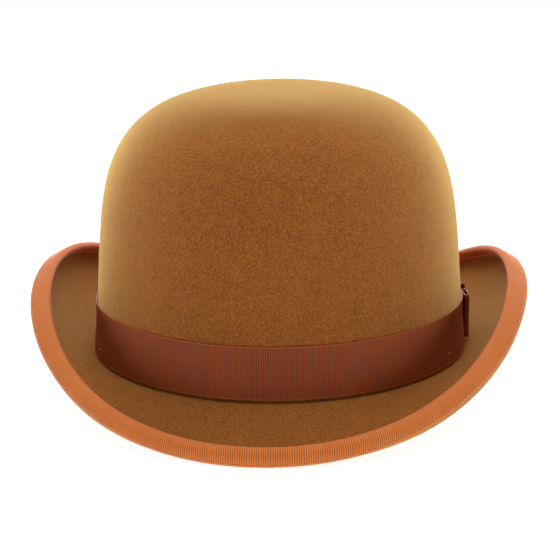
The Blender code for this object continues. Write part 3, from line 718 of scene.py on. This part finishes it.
WARP_PER_METRE = 2400.0
SELVAGE_TINT = 1.5
LABEL_LINE_INSET = 0.0012
LABEL_LINE_HALF_WIDTH = 0.00028
MATERIALS = {
    "felt": make_felt(
        dark=colour(0.165, 0.043, 0.007), middle=colour(0.205, 0.056, 0.009),
        light=colour(0.285, 0.088, 0.015), tip=colour(0.590, 0.222, 0.042),
    ),
    # deep is the colour of painted shade in the grooves between the band's ribs.
    "band": make_grosgrain(
        "rust_grosgrain", deep=colour(0.080, 0.015, 0.003), plain=colour(0.330, 0.058, 0.008),
        lit=colour(0.400, 0.078, 0.011), sheen_tint=colour(1.0, 0.55, 0.4), sheen=0.03,
        edges=(HUB - BAND_LIFT - BAND_HEIGHT, HUB - BAND_LIFT + BAND_SLACK),
    ),
    # deep is the colour of painted shade in the grooves between the binding's ribs.
    "binding": make_grosgrain(
        "copper_grosgrain", deep=colour(0.295, 0.062, 0.008), plain=colour(0.735, 0.190, 0.024),
        lit=colour(0.800, 0.235, 0.034), sheen_tint=colour(0.35, 0.60, 1.0), sheen=0.30,
        edges=(HUB - BINDING_OUTER_LEG, HUB - BINDING_OUTER_LEG),
    ),
    "thread": make_thread_material(
        "rust_thread", dark=colour(0.55, 0.17, 0.04), light=colour(0.85, 0.34, 0.09),
    ),
    "leather": make_leather(
        deep=colour(0.150, 0.062, 0.024), tan=colour(0.215, 0.098, 0.040),
        creased=colour(0.085, 0.034, 0.014), seam_shadow=colour(0.03, 0.012, 0.006),
    ),
    "satin": make_satin(
        deep=colour(0.42, 0.245, 0.095), plain=colour(0.50, 0.305, 0.130),
        bright=colour(0.60, 0.40, 0.20),
    ),
    "tape": make_tape_cotton(dark=colour(0.26, 0.15, 0.075), light=colour(0.38, 0.235, 0.125)),
    "reed": make_reed_plastic(dark=colour(0.62, 0.59, 0.52), light=colour(0.78, 0.75, 0.68)),
    "guard": make_clear_sheet(dark=colour(0.93, 0.93, 0.91), light=colour(0.98, 0.98, 0.97)),
    "label": make_label_cloth(
        pale=colour(0.74, 0.69, 0.58), dark=colour(0.60, 0.54, 0.43), border=colour(0.22, 0.09, 0.035),
    ),
}


# ---------------------------------------------------------------- making pieces
def finish_piece(name, shape, material, node, sharp=40.0):
    """Turn a bmesh into a piece that stands for a CAD node and rides on the hat's body."""
    mesh = bpy.data.meshes.new(name)
    shape.to_mesh(mesh)
    shape.free()
    mesh.materials.append(MATERIALS[material])
    mesh.shade_smooth()
    mesh.set_sharp_from_angle(angle=math.radians(sharp))
    piece = bpy.data.objects.new(name, mesh)
    bpy.context.scene.collection.objects.link(piece)
    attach(piece, "root")
    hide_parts(node)
    return piece


def plain_rows(points):
    """Outline points with no rib push, from (radius, depth) pairs."""
    return [(radius, depth, 0.0, 0.0) for radius, depth in points]


def blocked_ring(outline, closed, steps, place, units=1.0):
    """Spin a section of (radius, depth, push along radius, push along depth) and block it.

    The section is spun as a plain torus, or as a ball when its ends lie on the axis, and each
    point carries its row of the outline. place(share, radius, depth, push) then returns its
    place at that share of the way round. The UV map holds the share in units, and the radius.
    One wedge is spun and copied round; the steps are a multiple of the number of WEDGES.
    """
    shape = bmesh.new()
    labels = ("flat_radius", "flat_depth", "push_radius", "push_depth")
    layers = [shape.verts.layers.float.new(label) for label in labels]
    ring = []
    for index, row in enumerate(outline):
        if closed:
            turn = TURN * index / len(outline)
            point = shape.verts.new((1.0 + TUBE * math.cos(turn), 0.0, TUBE * math.sin(turn)))
        else:
            turn = math.pi * index / (len(outline) - 1)
            point = shape.verts.new((math.sin(turn), 0.0, math.cos(turn)))
        for layer, value in zip(layers, row):
            point[layer] = value
        ring.append(point)
    pairs = list(zip(ring, ring[1:]))
    if closed:
        pairs.append((ring[-1], ring[0]))
    edges = [shape.edges.new(pair) for pair in pairs]
    span = TURN / WEDGES
    bmesh.ops.spin(
        shape, geom=ring + edges, cent=(0.0, 0.0, 0.0), axis=(0.0, 0.0, 1.0),
        angle=span, steps=steps // WEDGES, use_merge=False,
    )
    for times in WEDGE_COPIES:
        wedge = shape.verts[:] + shape.edges[:] + shape.faces[:]
        for number in range(1, times):
            copied = bmesh.ops.duplicate(shape, geom=wedge)["geom"]
            points = [item for item in copied if isinstance(item, bmesh.types.BMVert)]
            turned = Matrix.Rotation(number * span, 3, "Z")
            bmesh.ops.rotate(shape, verts=points, cent=(0.0, 0.0, 0.0), matrix=turned)
        span *= times
    bmesh.ops.remove_doubles(shape, verts=shape.verts, dist=WELD)
    shape.verts.index_update()
    flat = []
    for point in shape.verts:
        share = (math.atan2(point.co.y, point.co.x) / TURN) % 1.0
        flat.append((round(share * steps) / steps, *[point[layer] for layer in layers]))
    weave = shape.loops.layers.uv.new("weave")
    for face in shape.faces:
        shares = [flat[corner.vert.index][0] for corner in face.loops]
        wraps = max(shares) - min(shares) > 0.5
        for corner, share in zip(face.loops, shares):
            unwrapped = share + 1.0 if wraps and share < 0.5 else share
            corner[weave].uv = (unwrapped * units, flat[corner.vert.index][1])
    for point in shape.verts:
        share, radius, depth, across, outward = flat[point.index]
        point.co = place(share % 1.0, radius, depth, (across, outward))
    bmesh.ops.recalc_face_normals(shape, faces=shape.faces)
    return shape


def shell_rows(stations, outer, inner):
    """Section of a sheet that covers the stations between two depths."""
    rows = [(station, outer) for station in stations]
    return plain_rows(rows + [(station, inner) for station in reversed(stations)])


def cord_outline(radius_at, depth, thickness, unit=1.0, sides=8):
    """Closed section of a round cord; unit is metres per unit of radius."""
    turns = [TURN * (index + 0.5) / sides for index in range(sides)]
    return plain_rows([
        (radius_at + thickness * math.cos(turn) / unit, depth + thickness * math.sin(turn))
        for turn in turns
    ])


def by_station(share, station, depth, _push):
    return block(TURN * share, station, depth)


def by_height(share, radius, depth, _push):
    return wall_place(TURN * share, HUB - radius, depth)


def zone_stations(steps):
    """Stations of whole zones, each cut evenly into the number of steps given for it."""
    stations = [float(DOME)]
    for zone, count in steps:
        stations += spread(zone, zone + 1.0, count)[1:]
    return stations


def rib_count(length):
    """Number of ribs round a length, in whole groups so that the spun ring divides evenly."""
    return SPIN_GROUP * round(length / RIB_PITCH / SPIN_GROUP)


def rib_rise(ribs, share):
    """Height of the ribs' wave at a share of the way round."""
    return RIB_HEIGHT * math.cos(TURN * ribs * share)


def make_felt_hood():
    """Crown and brim in one piece of felt."""
    stations = zone_stations([
        (DOME, 52), (WALL, 5), (BREAK, 7), (LEAF, 20), (LOW_CURL, 14), (TOP_CURL, 10), (LIP, 3),
    ])

    def place(share, station, depth, _push):
        angle = TURN * share
        here = block(angle, station, depth)
        waver = FELT_WAVER * noise.noise(here * FELT_WAVER_PER_METRE)
        return block(angle, station, depth + waver)

    shape = blocked_ring(shell_rows(stations, 0.0, FELT_INNER), False, ROUND_STEPS, place)
    finish_piece("felt_crown_and_brim", shape, "felt", "felt_body")


def make_binding():
    """Grosgrain folded over the felt's edge, its wide leg outside the curl."""
    low_outer = FELT_INNER - RIBBON_OUTER
    pace = Pace(lambda angle: block_from_edge(angle, BINDING_PACE_INSET, low_outer))
    ribs = rib_count(pace.length)
    middle = -FELT / 2.0
    outer_radius = FELT / 2.0 + RIBBON_OUTER
    inner_radius = FELT / 2.0 + RIBBON_INNER
    turns = spread(0.0, math.pi, 6)[1:-1]
    outer_leg = [BINDING_OUTER_LEG, BINDING_OUTER_LEG - SELVAGE]
    outer_leg += spread(BINDING_OUTER_LEG - 2.0 * SELVAGE, 0.0, 4)
    inner_leg = spread(0.0, BINDING_INNER_LEG - 2.0 * SELVAGE, 2)
    inner_leg += [BINDING_INNER_LEG - SELVAGE, BINDING_INNER_LEG]

    def bead(inset, leg):
        return SELVAGE_RISE if inset > leg - 1.5 * SELVAGE else 0.0

    outline = [(HUB - inset, low_outer - bead(inset, BINDING_OUTER_LEG), 0.0, -1.0)
               for inset in outer_leg]
    outline += [(HUB + outer_radius * math.sin(turn), middle - outer_radius * math.cos(turn),
                 math.sin(turn), -math.cos(turn)) for turn in turns]
    outline += [(HUB - inset, RIBBON_OUTER + bead(inset, BINDING_INNER_LEG), 0.0, 1.0)
                for inset in inner_leg]
    back = [(HUB - inset, RIBBON_INNER) for inset in (BINDING_INNER_LEG, BINDING_INNER_LEG / 2.0, 0.0)]
    back += [(HUB + inner_radius * math.sin(turn), middle - inner_radius * math.cos(turn))
             for turn in reversed(turns[::2])]
    back += [(HUB - inset, FELT_INNER - RIBBON_INNER)
             for inset in (0.0, BINDING_OUTER_LEG / 2.0, BINDING_OUTER_LEG)]
    outline += plain_rows(back)

    def place(share, radius, depth, push):
        rise = rib_rise(ribs, share)
        inset = HUB - radius - push[0] * rise
        return block_from_edge(pace.angle(share), inset, depth + push[1] * rise)

    shape = blocked_ring(outline, True, ribs * RIB_FACETS, place, ribs)
    piece = finish_piece("ribbon_brim_binding", shape, "binding", "brim_binding",
                         RIBBON_SHARP)


def band_flare(height):
    """How far the band stands off the crown at a height above the break line."""
    gone = smooth((height - BAND_LIFT) / (BAND_FLARE_SHARE * BAND_HEIGHT))
    return BAND_FLARE * (1.0 - gone) ** BAND_FLARE_POWER


def make_band():
    """Grosgrain band round the foot of the crown, its lower edge standing a little off."""
    middle_station = station_at(BAND_LIFT + BAND_HEIGHT / 2.0)
    pace = Pace(lambda angle: block(angle, middle_station, RIBBON_OUTER))
    ribs = rib_count(pace.length)
    top = BAND_LIFT + BAND_HEIGHT
    low = BAND_LIFT - BAND_SLACK
    heights = [top, top - SELVAGE / 2.0, top - SELVAGE]
    heights += spread(top - 2.0 * SELVAGE, low + 2.0 * SELVAGE, 9) + [low + SELVAGE, low]

    outline = []
    for height in heights:
        beside = min(top - height, height - low) < 0.8 * SELVAGE
        bead = SELVAGE_RISE if beside else 0.0
        outline.append((HUB - height, RIBBON_OUTER + band_flare(height) + bead, 0.0, 1.0))
    for height in reversed(heights[::2] + [heights[-1]]):
        outline.append((HUB - height, RIBBON_INNER + band_flare(height), 0.0, 0.0))

    def place(share, radius, depth, push):
        rise = rib_rise(ribs, share)
        return wall_place(pace.angle(share), HUB - radius, depth + push[1] * rise)

    shape = blocked_ring(outline, True, ribs * RIB_FACETS, place, ribs)
    piece = finish_piece("ribbon_hat_band", shape, "band", "hat_band", RIBBON_SHARP)


def make_tacks():
    """Short level stitches that hold the band to the crown."""
    for side, angle in TACK_ANGLES.items():
        shape = bmesh.new()
        bmesh.ops.create_uvsphere(shape, u_segments=12, v_segments=10, radius=1.0)
        half = (TACK_LENGTH / 2.0, TACK_RADIUS, TACK_RADIUS)
        bmesh.ops.rotate(shape, verts=shape.verts, matrix=Matrix.Rotation(math.pi / 2.0, 3, "Y"))
        bmesh.ops.scale(shape, verts=shape.verts, vec=half)
        lie = RIBBON_OUTER + band_flare(TACK_HEIGHT) + RIB_HEIGHT + TACK_RADIUS / 2.0
        for point in shape.verts:
            along, height, depth = point.co
            point.co = wall_place(wall_angle(angle, along), TACK_HEIGHT + height, lie + depth)
        bmesh.ops.recalc_face_normals(shape, faces=shape.faces)
        name = "band_tack_" + side
        finish_piece("stitched_" + name, shape, "thread", name, THREAD_SHARP)


def make_stitch_line(name, node, pitch, place_at):
    """A running stitch: one thread that lies on the surface and dips through it at each hole.

    place_at(angle, along radius, depth above the lie) returns a point of the thread.
    """
    pace = Pace(lambda angle: place_at(angle, 0.0, 0.0))
    stitches = SPIN_GROUP * round(pace.length / pitch / SPIN_GROUP)

    def place(share, radius, depth, _push):
        phase = (share * stitches) % 1.0
        hidden = smooth(1.0 - abs(phase - 0.5) / STITCH_HIDDEN_SHARE)
        return place_at(pace.angle(share), radius - HUB, depth - STITCH_DIP * hidden)

    shape = blocked_ring(cord_outline(HUB, 0.0, THREAD_RADIUS, sides=6), True,
                         stitches * STITCH_FACETS, place, stitches)
    finish_piece(name, shape, "thread", node, THREAD_SHARP)


def binding_stitches(name, node, inset, lie, outward):
    """Stitches along the brim; outward is the direction of depth that leaves the ribbon."""
    def place_at(angle, along, above):
        point, heading = edge_point(angle, inset)
        moved = (point[0] + along * math.cos(heading), point[1] + along * math.sin(heading))
        return set_on_form(angle, moved, heading, lie + outward * above)

    make_stitch_line(name, node, EDGE_STITCH, place_at)


def sweatband_stitches():
    """Stitches that join the sweatband to the reed tape."""
    lie = SWEATBAND_INNER - THREAD_RADIUS / 2.0

    def place_at(angle, along, above):
        return wall_place(angle, SWEATBAND_STITCH_HEIGHT - along, lie - above)

    make_stitch_line("sweatband_stitches", "sweatband_thread", SWEATBAND_STITCH, place_at)


# ---------------------------------------------------------------- bows
def loop_path(half_length, depth, pinch):
    """Flattened figure of a bow seen from above: two loops and a pinched middle."""
    end_radius = depth / 2.0
    reach = half_length - end_radius
    path = []
    for share in spread(-1.0, 1.0, 80):
        swell = math.sin(min(1.0, abs(share) / LOOP_FULL_SHARE) * math.pi / 2.0) ** 2
        path.append((share * reach, pinch + (depth - pinch) * swell))
    for turn in spread(math.pi / 2.0, -math.pi / 2.0, 10)[1:-1]:
        path.append((reach + end_radius * math.cos(turn), end_radius + end_radius * math.sin(turn)))
    for share in spread(1.0, -1.0, 40):
        path.append((share * reach, 0.0))
    for turn in spread(-math.pi / 2.0, -1.5 * math.pi, 10)[1:-1]:
        path.append((-reach + end_radius * math.cos(turn), end_radius + end_radius * math.sin(turn)))
    return path


def rounded_box_path(low, high, corner):
    """Rectangle with round corners, from (low, low) to (high, high) corner points."""
    centres = [
        (high[0] - corner, high[1] - corner), (low[0] + corner, high[1] - corner),
        (low[0] + corner, low[1] + corner), (high[0] - corner, low[1] + corner),
    ]
    path = []
    for quarter, centre in enumerate(centres):
        for turn in spread(quarter * math.pi / 2.0, (quarter + 1) * math.pi / 2.0, 6):
            path.append((centre[0] + corner * math.cos(turn), centre[1] + corner * math.sin(turn)))
    return path


def even_points(path, count):
    """Points at equal distances along a closed path, each with the path's outward normal."""
    corners = path + [path[0]]
    lengths = [0.0]
    for here, there in zip(corners, corners[1:]):
        lengths.append(lengths[-1] + math.dist(here, there))
    points = []
    for index in range(count):
        target = lengths[-1] * index / count
        side = min(bisect_right(lengths, target), len(corners) - 1) - 1
        here, there = corners[side], corners[side + 1]
        span = max(math.dist(here, there), 1e-9)
        part = (target - lengths[side]) / span
        normal = ((there[1] - here[1]) / span, -(there[0] - here[0]) / span)
        place = (here[0] + (there[0] - here[0]) * part, here[1] + (there[1] - here[1]) * part)
        points.append((place, normal))
    return points, lengths[-1]


def thicken(piece, name, thickness):
    wall = piece.modifiers.new(name, "SOLIDIFY")
    wall.thickness = thickness
    wall.offset = 0.0


def ribbon_loop(name, node, path, low, high, rows, place, sag):
    """A closed loop of grosgrain on edge: ribs across it, folds near its middle.

    place(along, across, depth) sets a point of the loop on the hat, and sag(along, share)
    returns how far the ribbon is pushed along its depth and squeezed across its width.
    """
    _, length = even_points(path, 8)
    ribs = round(length / RIB_PITCH)
    points, _ = even_points(path, ribs * RIB_FACETS)
    shape = bmesh.new()
    order = shape.verts.layers.float.new("order")
    ring = []
    for index, ((along, depth), normal) in enumerate(points):
        rise = RIB_HEIGHT * math.cos(TURN * index / RIB_FACETS)
        corner = shape.verts.new((along + normal[0] * rise, low, depth + normal[1] * rise))
        corner[order] = index / RIB_FACETS
        ring.append(corner)
    edges = [shape.edges.new((ring[index - 1], ring[index])) for index in range(len(ring))]
    for _ in range(rows):
        raised = bmesh.ops.extrude_edge_only(shape, edges=edges)["geom"]
        edges = [item for item in raised if isinstance(item, bmesh.types.BMEdge)]
        fresh = [item for item in raised if isinstance(item, bmesh.types.BMVert)]
        edges = [edge for edge in edges if all(end in fresh for end in edge.verts)]
        bmesh.ops.translate(shape, verts=fresh, vec=(0.0, (high - low) / rows, 0.0))
    layer = shape.loops.layers.uv.new("weave")
    for face in shape.faces:
        numbers = [corner.vert[order] for corner in face.loops]
        wraps = max(numbers) - min(numbers) > ribs / 2.0
        for corner, number in zip(face.loops, numbers):
            unwrapped = number + ribs if wraps and number < ribs / 2.0 else number
            corner[layer].uv = (unwrapped, corner.vert.co.y)
    middle = (low + high) / 2.0
    for point in shape.verts:
        along, across, depth = point.co
        push, squeeze = sag(along, 2.0 * (across - middle) / (high - low))
        point.co = place(along, middle + (across - middle) * squeeze, depth + push)
    bmesh.ops.recalc_face_normals(shape, faces=shape.faces)
    piece = finish_piece(name, shape, "band", node, RIBBON_SHARP)
    thicken(piece, "ribbon_thickness", RIBBON)
    return piece, length


def bow_place(along, height, depth):
    return wall_place(wall_angle(BOW_ANGLE, along), height, depth)


def bow_gather(along, share):
    """Folds of the loops where the knot gathers them."""
    near = math.exp(-(along / LOOP_GATHER_REACH) ** 2)
    return LOOP_FOLD_DEPTH * near * math.cos(3.0 * math.pi * share), 1.0 - LOOP_SQUEEZE * near


def make_bow():
    """Flat bow of the band's own ribbon: two loops and a knot wrapped round them."""
    middle = BAND_LIFT + BAND_HEIGHT / 2.0
    low, high = middle - BOW_HEIGHT / 2.0, middle + BOW_HEIGHT / 2.0
    knot_back = RIBBON_OUTER + GAP + RIBBON / 2.0
    loop_back = knot_back + RIBBON / 2.0 + GAP + RIBBON / 2.0
    loops, length = ribbon_loop(
        "ribbon_bow_loops", "bow_loops",
        [(along, loop_back + depth) for along, depth in
         loop_path(BOW_HALF_LENGTH, BOW_LOOP_DEPTH, BOW_PINCH_DEPTH)],
        low, high, 14, bow_place, bow_gather,
    )
    knot_front = knot_back + RIBBON + GAP + BOW_LOOP_DEPTH + RIBBON + GAP
    reach = GAP + RIBBON / 2.0 + KNOT_CORNER / 2.0
    outline = rounded_box_path((low - reach, knot_back), (high + reach, knot_front),
                               2.0 * KNOT_CORNER)

    def knot_folds(height, share):
        squeeze = KNOT_SQUEEZE * math.cos((height - middle) / KNOT_SQUEEZE_REACH)
        return KNOT_FOLD_DEPTH * math.cos(2.0 * math.pi * share), 1.0 - squeeze

    knot, knot_length = ribbon_loop(
        "ribbon_bow_knot", "bow_knot", outline, -KNOT_HALF_WIDTH, KNOT_HALF_WIDTH, 10,
        lambda height, along, depth: bow_place(along, height, depth), knot_folds,
    )


def make_back_bow():
    """Small flat bow at the foot of the sweatband's rear seam."""
    near = SWEATBAND_INNER - GAP - THREAD_RADIUS * 2.0 - GAP - RIBBON / 2.0

    def place(along, height, depth):
        return wall_place(wall_angle(math.pi / 2.0, along), height, near - depth)

    def gather(along, _share):
        return 0.0, 1.0 - BACK_BOW_SQUEEZE * math.exp(-(along / BACK_BOW_GATHER_REACH) ** 2)

    ribbon_loop(
        "sweatband_back_bow", "sweatband_bow",
        loop_path(BACK_BOW_HALF_LENGTH, BACK_BOW_DEPTH, BACK_BOW_PINCH),
        BACK_BOW_HEIGHT - BACK_BOW_WIDTH / 2.0, BACK_BOW_HEIGHT + BACK_BOW_WIDTH / 2.0, 6,
        place, gather,
    )


# ---------------------------------------------------------------- inside of the hat
def make_sweatband():
    """Leather strip with a rolled top edge and an embossed line below it."""
    def face_depth(height):
        rolled = smooth((height / SWEATBAND_TOP - SWEATBAND_ROLL_FROM) / (1.0 - SWEATBAND_ROLL_FROM))
        groove = EMBOSS_DEPTH * math.exp(-((height - EMBOSS_HEIGHT) / EMBOSS_HALF_WIDTH) ** 2)
        return SWEATBAND_INNER + groove - SWEATBAND_ROLL * rolled

    near_line = spread(EMBOSS_HEIGHT - 0.0012, EMBOSS_HEIGHT + 0.0012, 8)
    heights = spread(SWEATBAND_LOW + 0.0002, EMBOSS_HEIGHT - 0.002, 8) + near_line
    heights += spread(EMBOSS_HEIGHT + 0.002, SWEATBAND_TOP - 0.0004, 4)
    inside = [(HUB - height, face_depth(height)) for height in heights]
    outside = [(HUB - height, face_depth(height) + SWEATBAND_LEATHER - 0.0001)
               for height in reversed(heights[::3])]
    crest = [(HUB - SWEATBAND_TOP, face_depth(SWEATBAND_TOP) + part * SWEATBAND_LEATHER)
             for part in (0.3, 0.7)]
    foot = [(HUB - SWEATBAND_LOW, depth)
            for depth in (SWEATBAND_OUTER - 0.0003, SWEATBAND_INNER + 0.0003)]
    shape = blocked_ring(plain_rows(inside + crest + outside + foot), True, ROUND_STEPS, by_height)
    piece = finish_piece("leather_sweatband", shape, "leather", "sweatband")
    pace = Pace(lambda angle: wall_place(angle, SWEATBAND_TOP / 2.0, SWEATBAND_INNER))


def make_reed_and_tape():
    """Filament at the sweatband's foot and the cotton tape wrapped round it."""
    height = SWEATBAND_LOW - GAP - REED_TAPE_SHEET - GAP - REED_RADIUS
    depth = (SWEATBAND_OUTER + SWEATBAND_INNER) / 2.0
    reed = blocked_ring(cord_outline(HUB - height, depth, REED_RADIUS, sides=12), True,
                        ROUND_STEPS, by_height)
    finish_piece("sweatband_reed_filament", reed, "reed", "sweatband_reed")
    inner = REED_RADIUS + GAP
    outer = inner + REED_TAPE_SHEET
    turns = spread(math.radians(90.0), math.radians(240.0), 10)

    def round_reed(radius, turn):
        return HUB - height - radius * math.cos(turn), depth + radius * math.sin(turn)

    outline = [(HUB - level, LINING_OUTER) for level in spread(REED_TAPE_HEIGHT, SWEATBAND_LOW, 5)]
    outline += [round_reed(outer, turn) for turn in turns]
    outline += [round_reed(inner, turn) for turn in reversed(turns)]
    outline += [(HUB - level, LINING_INNER) for level in spread(SWEATBAND_LOW, REED_TAPE_HEIGHT, 5)]
    pace = Pace(lambda angle: wall_place(angle, height, depth))
    tape = blocked_ring(plain_rows(outline), True, ROUND_STEPS, by_height, pace.length)
    piece = finish_piece("cotton_reed_tape", tape, "tape", "reed_tape")


def make_lining():
    """Satin wall in soft folds, satin tip, covered piping and the clear tip guard."""
    top = LINING_TIP_STATION + LINING_SEAM
    stations = spread(top, 1.0, 26) + spread(1.0, station_at(LINING_LOW), 4)[1:]
    free_from = station_at(SWEATBAND_TOP)

    def folded(share, station, depth, _push):
        angle = TURN * share
        free = smooth((free_from - station) / 0.12) * smooth((station - top) / 0.04)
        drift = PLEAT_DRIFT * noise.noise(Vector((math.cos(angle) * 2.0, math.sin(angle) * 2.0, station)))
        wave = 0.5 + 0.5 * math.cos(PLEATS * angle + 3.0 * drift)
        return block(angle, station, depth - PLEAT_DEPTH * (0.7 + drift * 0.5) * free * wave)

    pace = Pace(lambda angle: block(angle, 1.0, LINING_INNER))
    shape = blocked_ring(shell_rows(stations, LINING_OUTER, LINING_INNER), True, 6 * PLEATS, folded,
                         pace.length)
    side = finish_piece("satin_lining_side", shape, "satin", "lining_side")
    profile = [block(0.0, station, LINING_INNER) for station in stations]

    stations = spread(0.0, LINING_TIP_STATION - LINING_SEAM, 24)
    shape = blocked_ring(shell_rows(stations, LINING_OUTER, LINING_INNER), False, ROUND_STEPS,
                         by_station, pace.length)
    piece = finish_piece("satin_lining_tip", shape, "satin", "lining_tip")
    across, along = (2.0 * block(angle, stations[-1], LINING_OUTER)[axis]
                     for axis, angle in ((0, 0.0), (1, math.pi / 2.0)))

    low = dome_outline(LINING_TIP_STATION - STATION_STEP)
    high = dome_outline(LINING_TIP_STATION + STATION_STEP)
    unit = math.dist(low, high) / (2.0 * STATION_STEP)
    rope = cord_outline(LINING_TIP_STATION, LINING_INNER - GAP - PIPING_RADIUS, PIPING_RADIUS, unit,
                        sides=10)
    shape = blocked_ring(rope, True, ROUND_STEPS, by_station, pace.length)
    finish_piece("lining_piping_cord", shape, "satin", "lining_piping")

    outer = LINING_INNER - GAP
    stations = spread(0.0, TIP_GUARD_STATION, 20)
    shape = blocked_ring(shell_rows(stations, outer, outer - TIP_GUARD_SHEET), False, ROUND_STEPS,
                         by_station)
    finish_piece("clear_tip_guard", shape, "guard", "tip_guard")


def make_label():
    """Blank woven label inside the sweatband, beside the rear seam."""
    outer = SWEATBAND_INNER - GAP
    shape = bmesh.new()
    bmesh.ops.create_grid(shape, x_segments=24, y_segments=10, size=0.5)
    size = (2.0 * LABEL_HALF_LENGTH, LABEL_TOP - LABEL_LOW, 1.0)
    bmesh.ops.scale(shape, vec=size, verts=shape.verts)
    bmesh.ops.translate(shape, vec=(0.0, (LABEL_LOW + LABEL_TOP) / 2.0, 0.0), verts=shape.verts)
    layer = shape.loops.layers.uv.new("weave")
    for face in shape.faces:
        for corner in face.loops:
            corner[layer].uv = corner.vert.co.xy
    for point in shape.verts:
        along, height, _ = point.co
        lift = LABEL_END_LIFT * (along / LABEL_HALF_LENGTH) ** 4
        depth = outer - LABEL_SHEET / 2.0 - lift
        point.co = wall_place(wall_angle(LABEL_ANGLE, along), height, depth)
    bmesh.ops.recalc_face_normals(shape, faces=shape.faces)
    piece = finish_piece("woven_size_label", shape, "label", "size_label")
    thicken(piece, "label_thickness", LABEL_SHEET)


# ---------------------------------------------------------------- studio
CAMERA_ELEVATION = math.radians(13.58)
CAMERA_YAW = math.radians(3.70)
CAMERA_ROLL = math.radians(0.35)
CAMERA_DISTANCE = 1.0325
CAMERA_LENS = 135.7
AIM_HEIGHT = 0.0480
AIM_SIDE = 0.0001
FLOOR_HALF_WIDTH = 6.0
FLOOR_DROP = 0.0002
FLOOR_GLOW = 0.88
SURROUND = 0.02
SOFTBOXES = {
    "softbox_top": ((0.0, 0.0, 1.3), (0.0, 0.0, 0.1), (1.4, 1.4), 21.0),
    "softbox_back": ((0.0, 1.3, 0.35), (0.0, 0.0, 0.06), (2.2, 0.6), 33.0),
    "softbox_front": ((0.0, -1.35, 0.25), (0.0, 0.0, 0.06), (1.2, 0.5), 1.3),
    "softbox_left": ((-1.3, 0.25, 0.22), (0.0, 0.0, 0.10), (0.9, 0.4), 2.7),
    "softbox_right": ((1.3, 0.25, 0.22), (0.0, 0.0, 0.10), (0.9, 0.4), 2.5),
}


def make_camera():
    """Long lens, a little above the brim and almost straight in front."""
    flat = math.cos(CAMERA_ELEVATION)
    back = Vector((
        math.sin(CAMERA_YAW) * flat, -math.cos(CAMERA_YAW) * flat, math.sin(CAMERA_ELEVATION),
    ))
    right = Vector((math.cos(CAMERA_YAW), math.sin(CAMERA_YAW), 0.0))
    turn = Matrix((right, back.cross(right), back)).transposed()
    turn = turn @ Matrix.Rotation(-CAMERA_ROLL, 3, "Z")
    data = bpy.data.cameras.new("studio_camera")
    data.lens = CAMERA_LENS
    data.clip_start = 0.05
    camera = bpy.data.objects.new("studio_camera", data)
    aim = Vector((AIM_SIDE, 0.0, AIM_HEIGHT))
    camera.matrix_world = Matrix.Translation(aim + back * CAMERA_DISTANCE) @ turn.to_4x4()
    bpy.context.scene.collection.objects.link(camera)
    bpy.context.scene.camera = camera


def make_floor():
    """Pale sheet under the hat, gently lit from below like a light table."""
    shape = bmesh.new()
    bmesh.ops.create_grid(shape, x_segments=1, y_segments=1, size=FLOOR_HALF_WIDTH)
    mesh = bpy.data.meshes.new("floor")
    shape.to_mesh(mesh)
    shape.free()
    paper = Finish(
        "floor_paper", Base_Color=colour(0.50, 0.50, 0.50), Roughness=0.9,
        Emission_Color=colour(1.0, 1.0, 1.0), Emission_Strength=FLOOR_GLOW, Specular_IOR_Level=0.1,
    )
    mesh.materials.append(paper.material)
    floor = bpy.data.objects.new("floor", mesh)
    floor.location.z = -FLOOR_DROP
    bpy.context.scene.collection.objects.link(floor)


def make_area_light(name, place, aim, size, power):
    data = bpy.data.lights.new(name, "AREA")
    data.shape = "RECTANGLE"
    data.size, data.size_y = size
    data.energy = power
    light = bpy.data.objects.new(name, data)
    light.location = place
    light.visible_camera = False
    light.rotation_euler = (Vector(aim) - Vector(place)).to_track_quat("-Z", "Y").to_euler()
    bpy.context.scene.collection.objects.link(light)


def make_studio():
    """White surround that the camera sees at full strength, and five softboxes."""
    world = bpy.data.worlds.new("white_surround")
    world.use_nodes = True
    world.node_tree.nodes.clear()
    nodes = Nodes(world.node_tree)
    rays = nodes.add("LightPath").outputs["Is Camera Ray"]
    lit, seen = (
        nodes.add("Background", {"Color": colour(1.0, 1.0, 1.0), "Strength": strength}).outputs[0]
        for strength in (SURROUND, 1.0)
    )
    blend = nodes.add("MixShader", {0: rays, 1: lit, 2: seen})
    output = nodes.add("OutputWorld", {"Surface": blend.outputs[0]})
    output.is_active_output = True
    bpy.context.scene.world = world
    for name, (place, aim, size, power) in SOFTBOXES.items():
        make_area_light(name, place, aim, size, power)
    bpy.context.scene.view_settings.view_transform = "Standard"


# ---------------------------------------------------------------- the whole hat
def dress_seam_thread():
    """The zigzag of the sweatband's rear seam keeps its CAD shape and takes the thread's finish."""
    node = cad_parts["sweatband_seam_thread"]
    node.data.materials.clear()
    node.data.materials.append(MATERIALS["thread"])


make_camera()
make_floor()
make_studio()
make_felt_hood()
make_binding()
outer_lie = FELT_INNER - RIBBON_OUTER - THREAD_RADIUS / 2.0
inner_lie = RIBBON_OUTER + THREAD_RADIUS / 2.0
binding_stitches("binding_needle_stitches", "binding_needle_thread",
                 BINDING_OUTER_LEG - STITCH_INSET, outer_lie, -1.0)
binding_stitches("binding_bobbin_stitches", "binding_bobbin_thread",
                 BINDING_INNER_LEG - STITCH_INSET, inner_lie, 1.0)
make_band()
make_tacks()
make_bow()
make_sweatband()
make_reed_and_tape()
sweatband_stitches()
make_back_bow()
make_lining()
make_label()
dress_seam_thread()
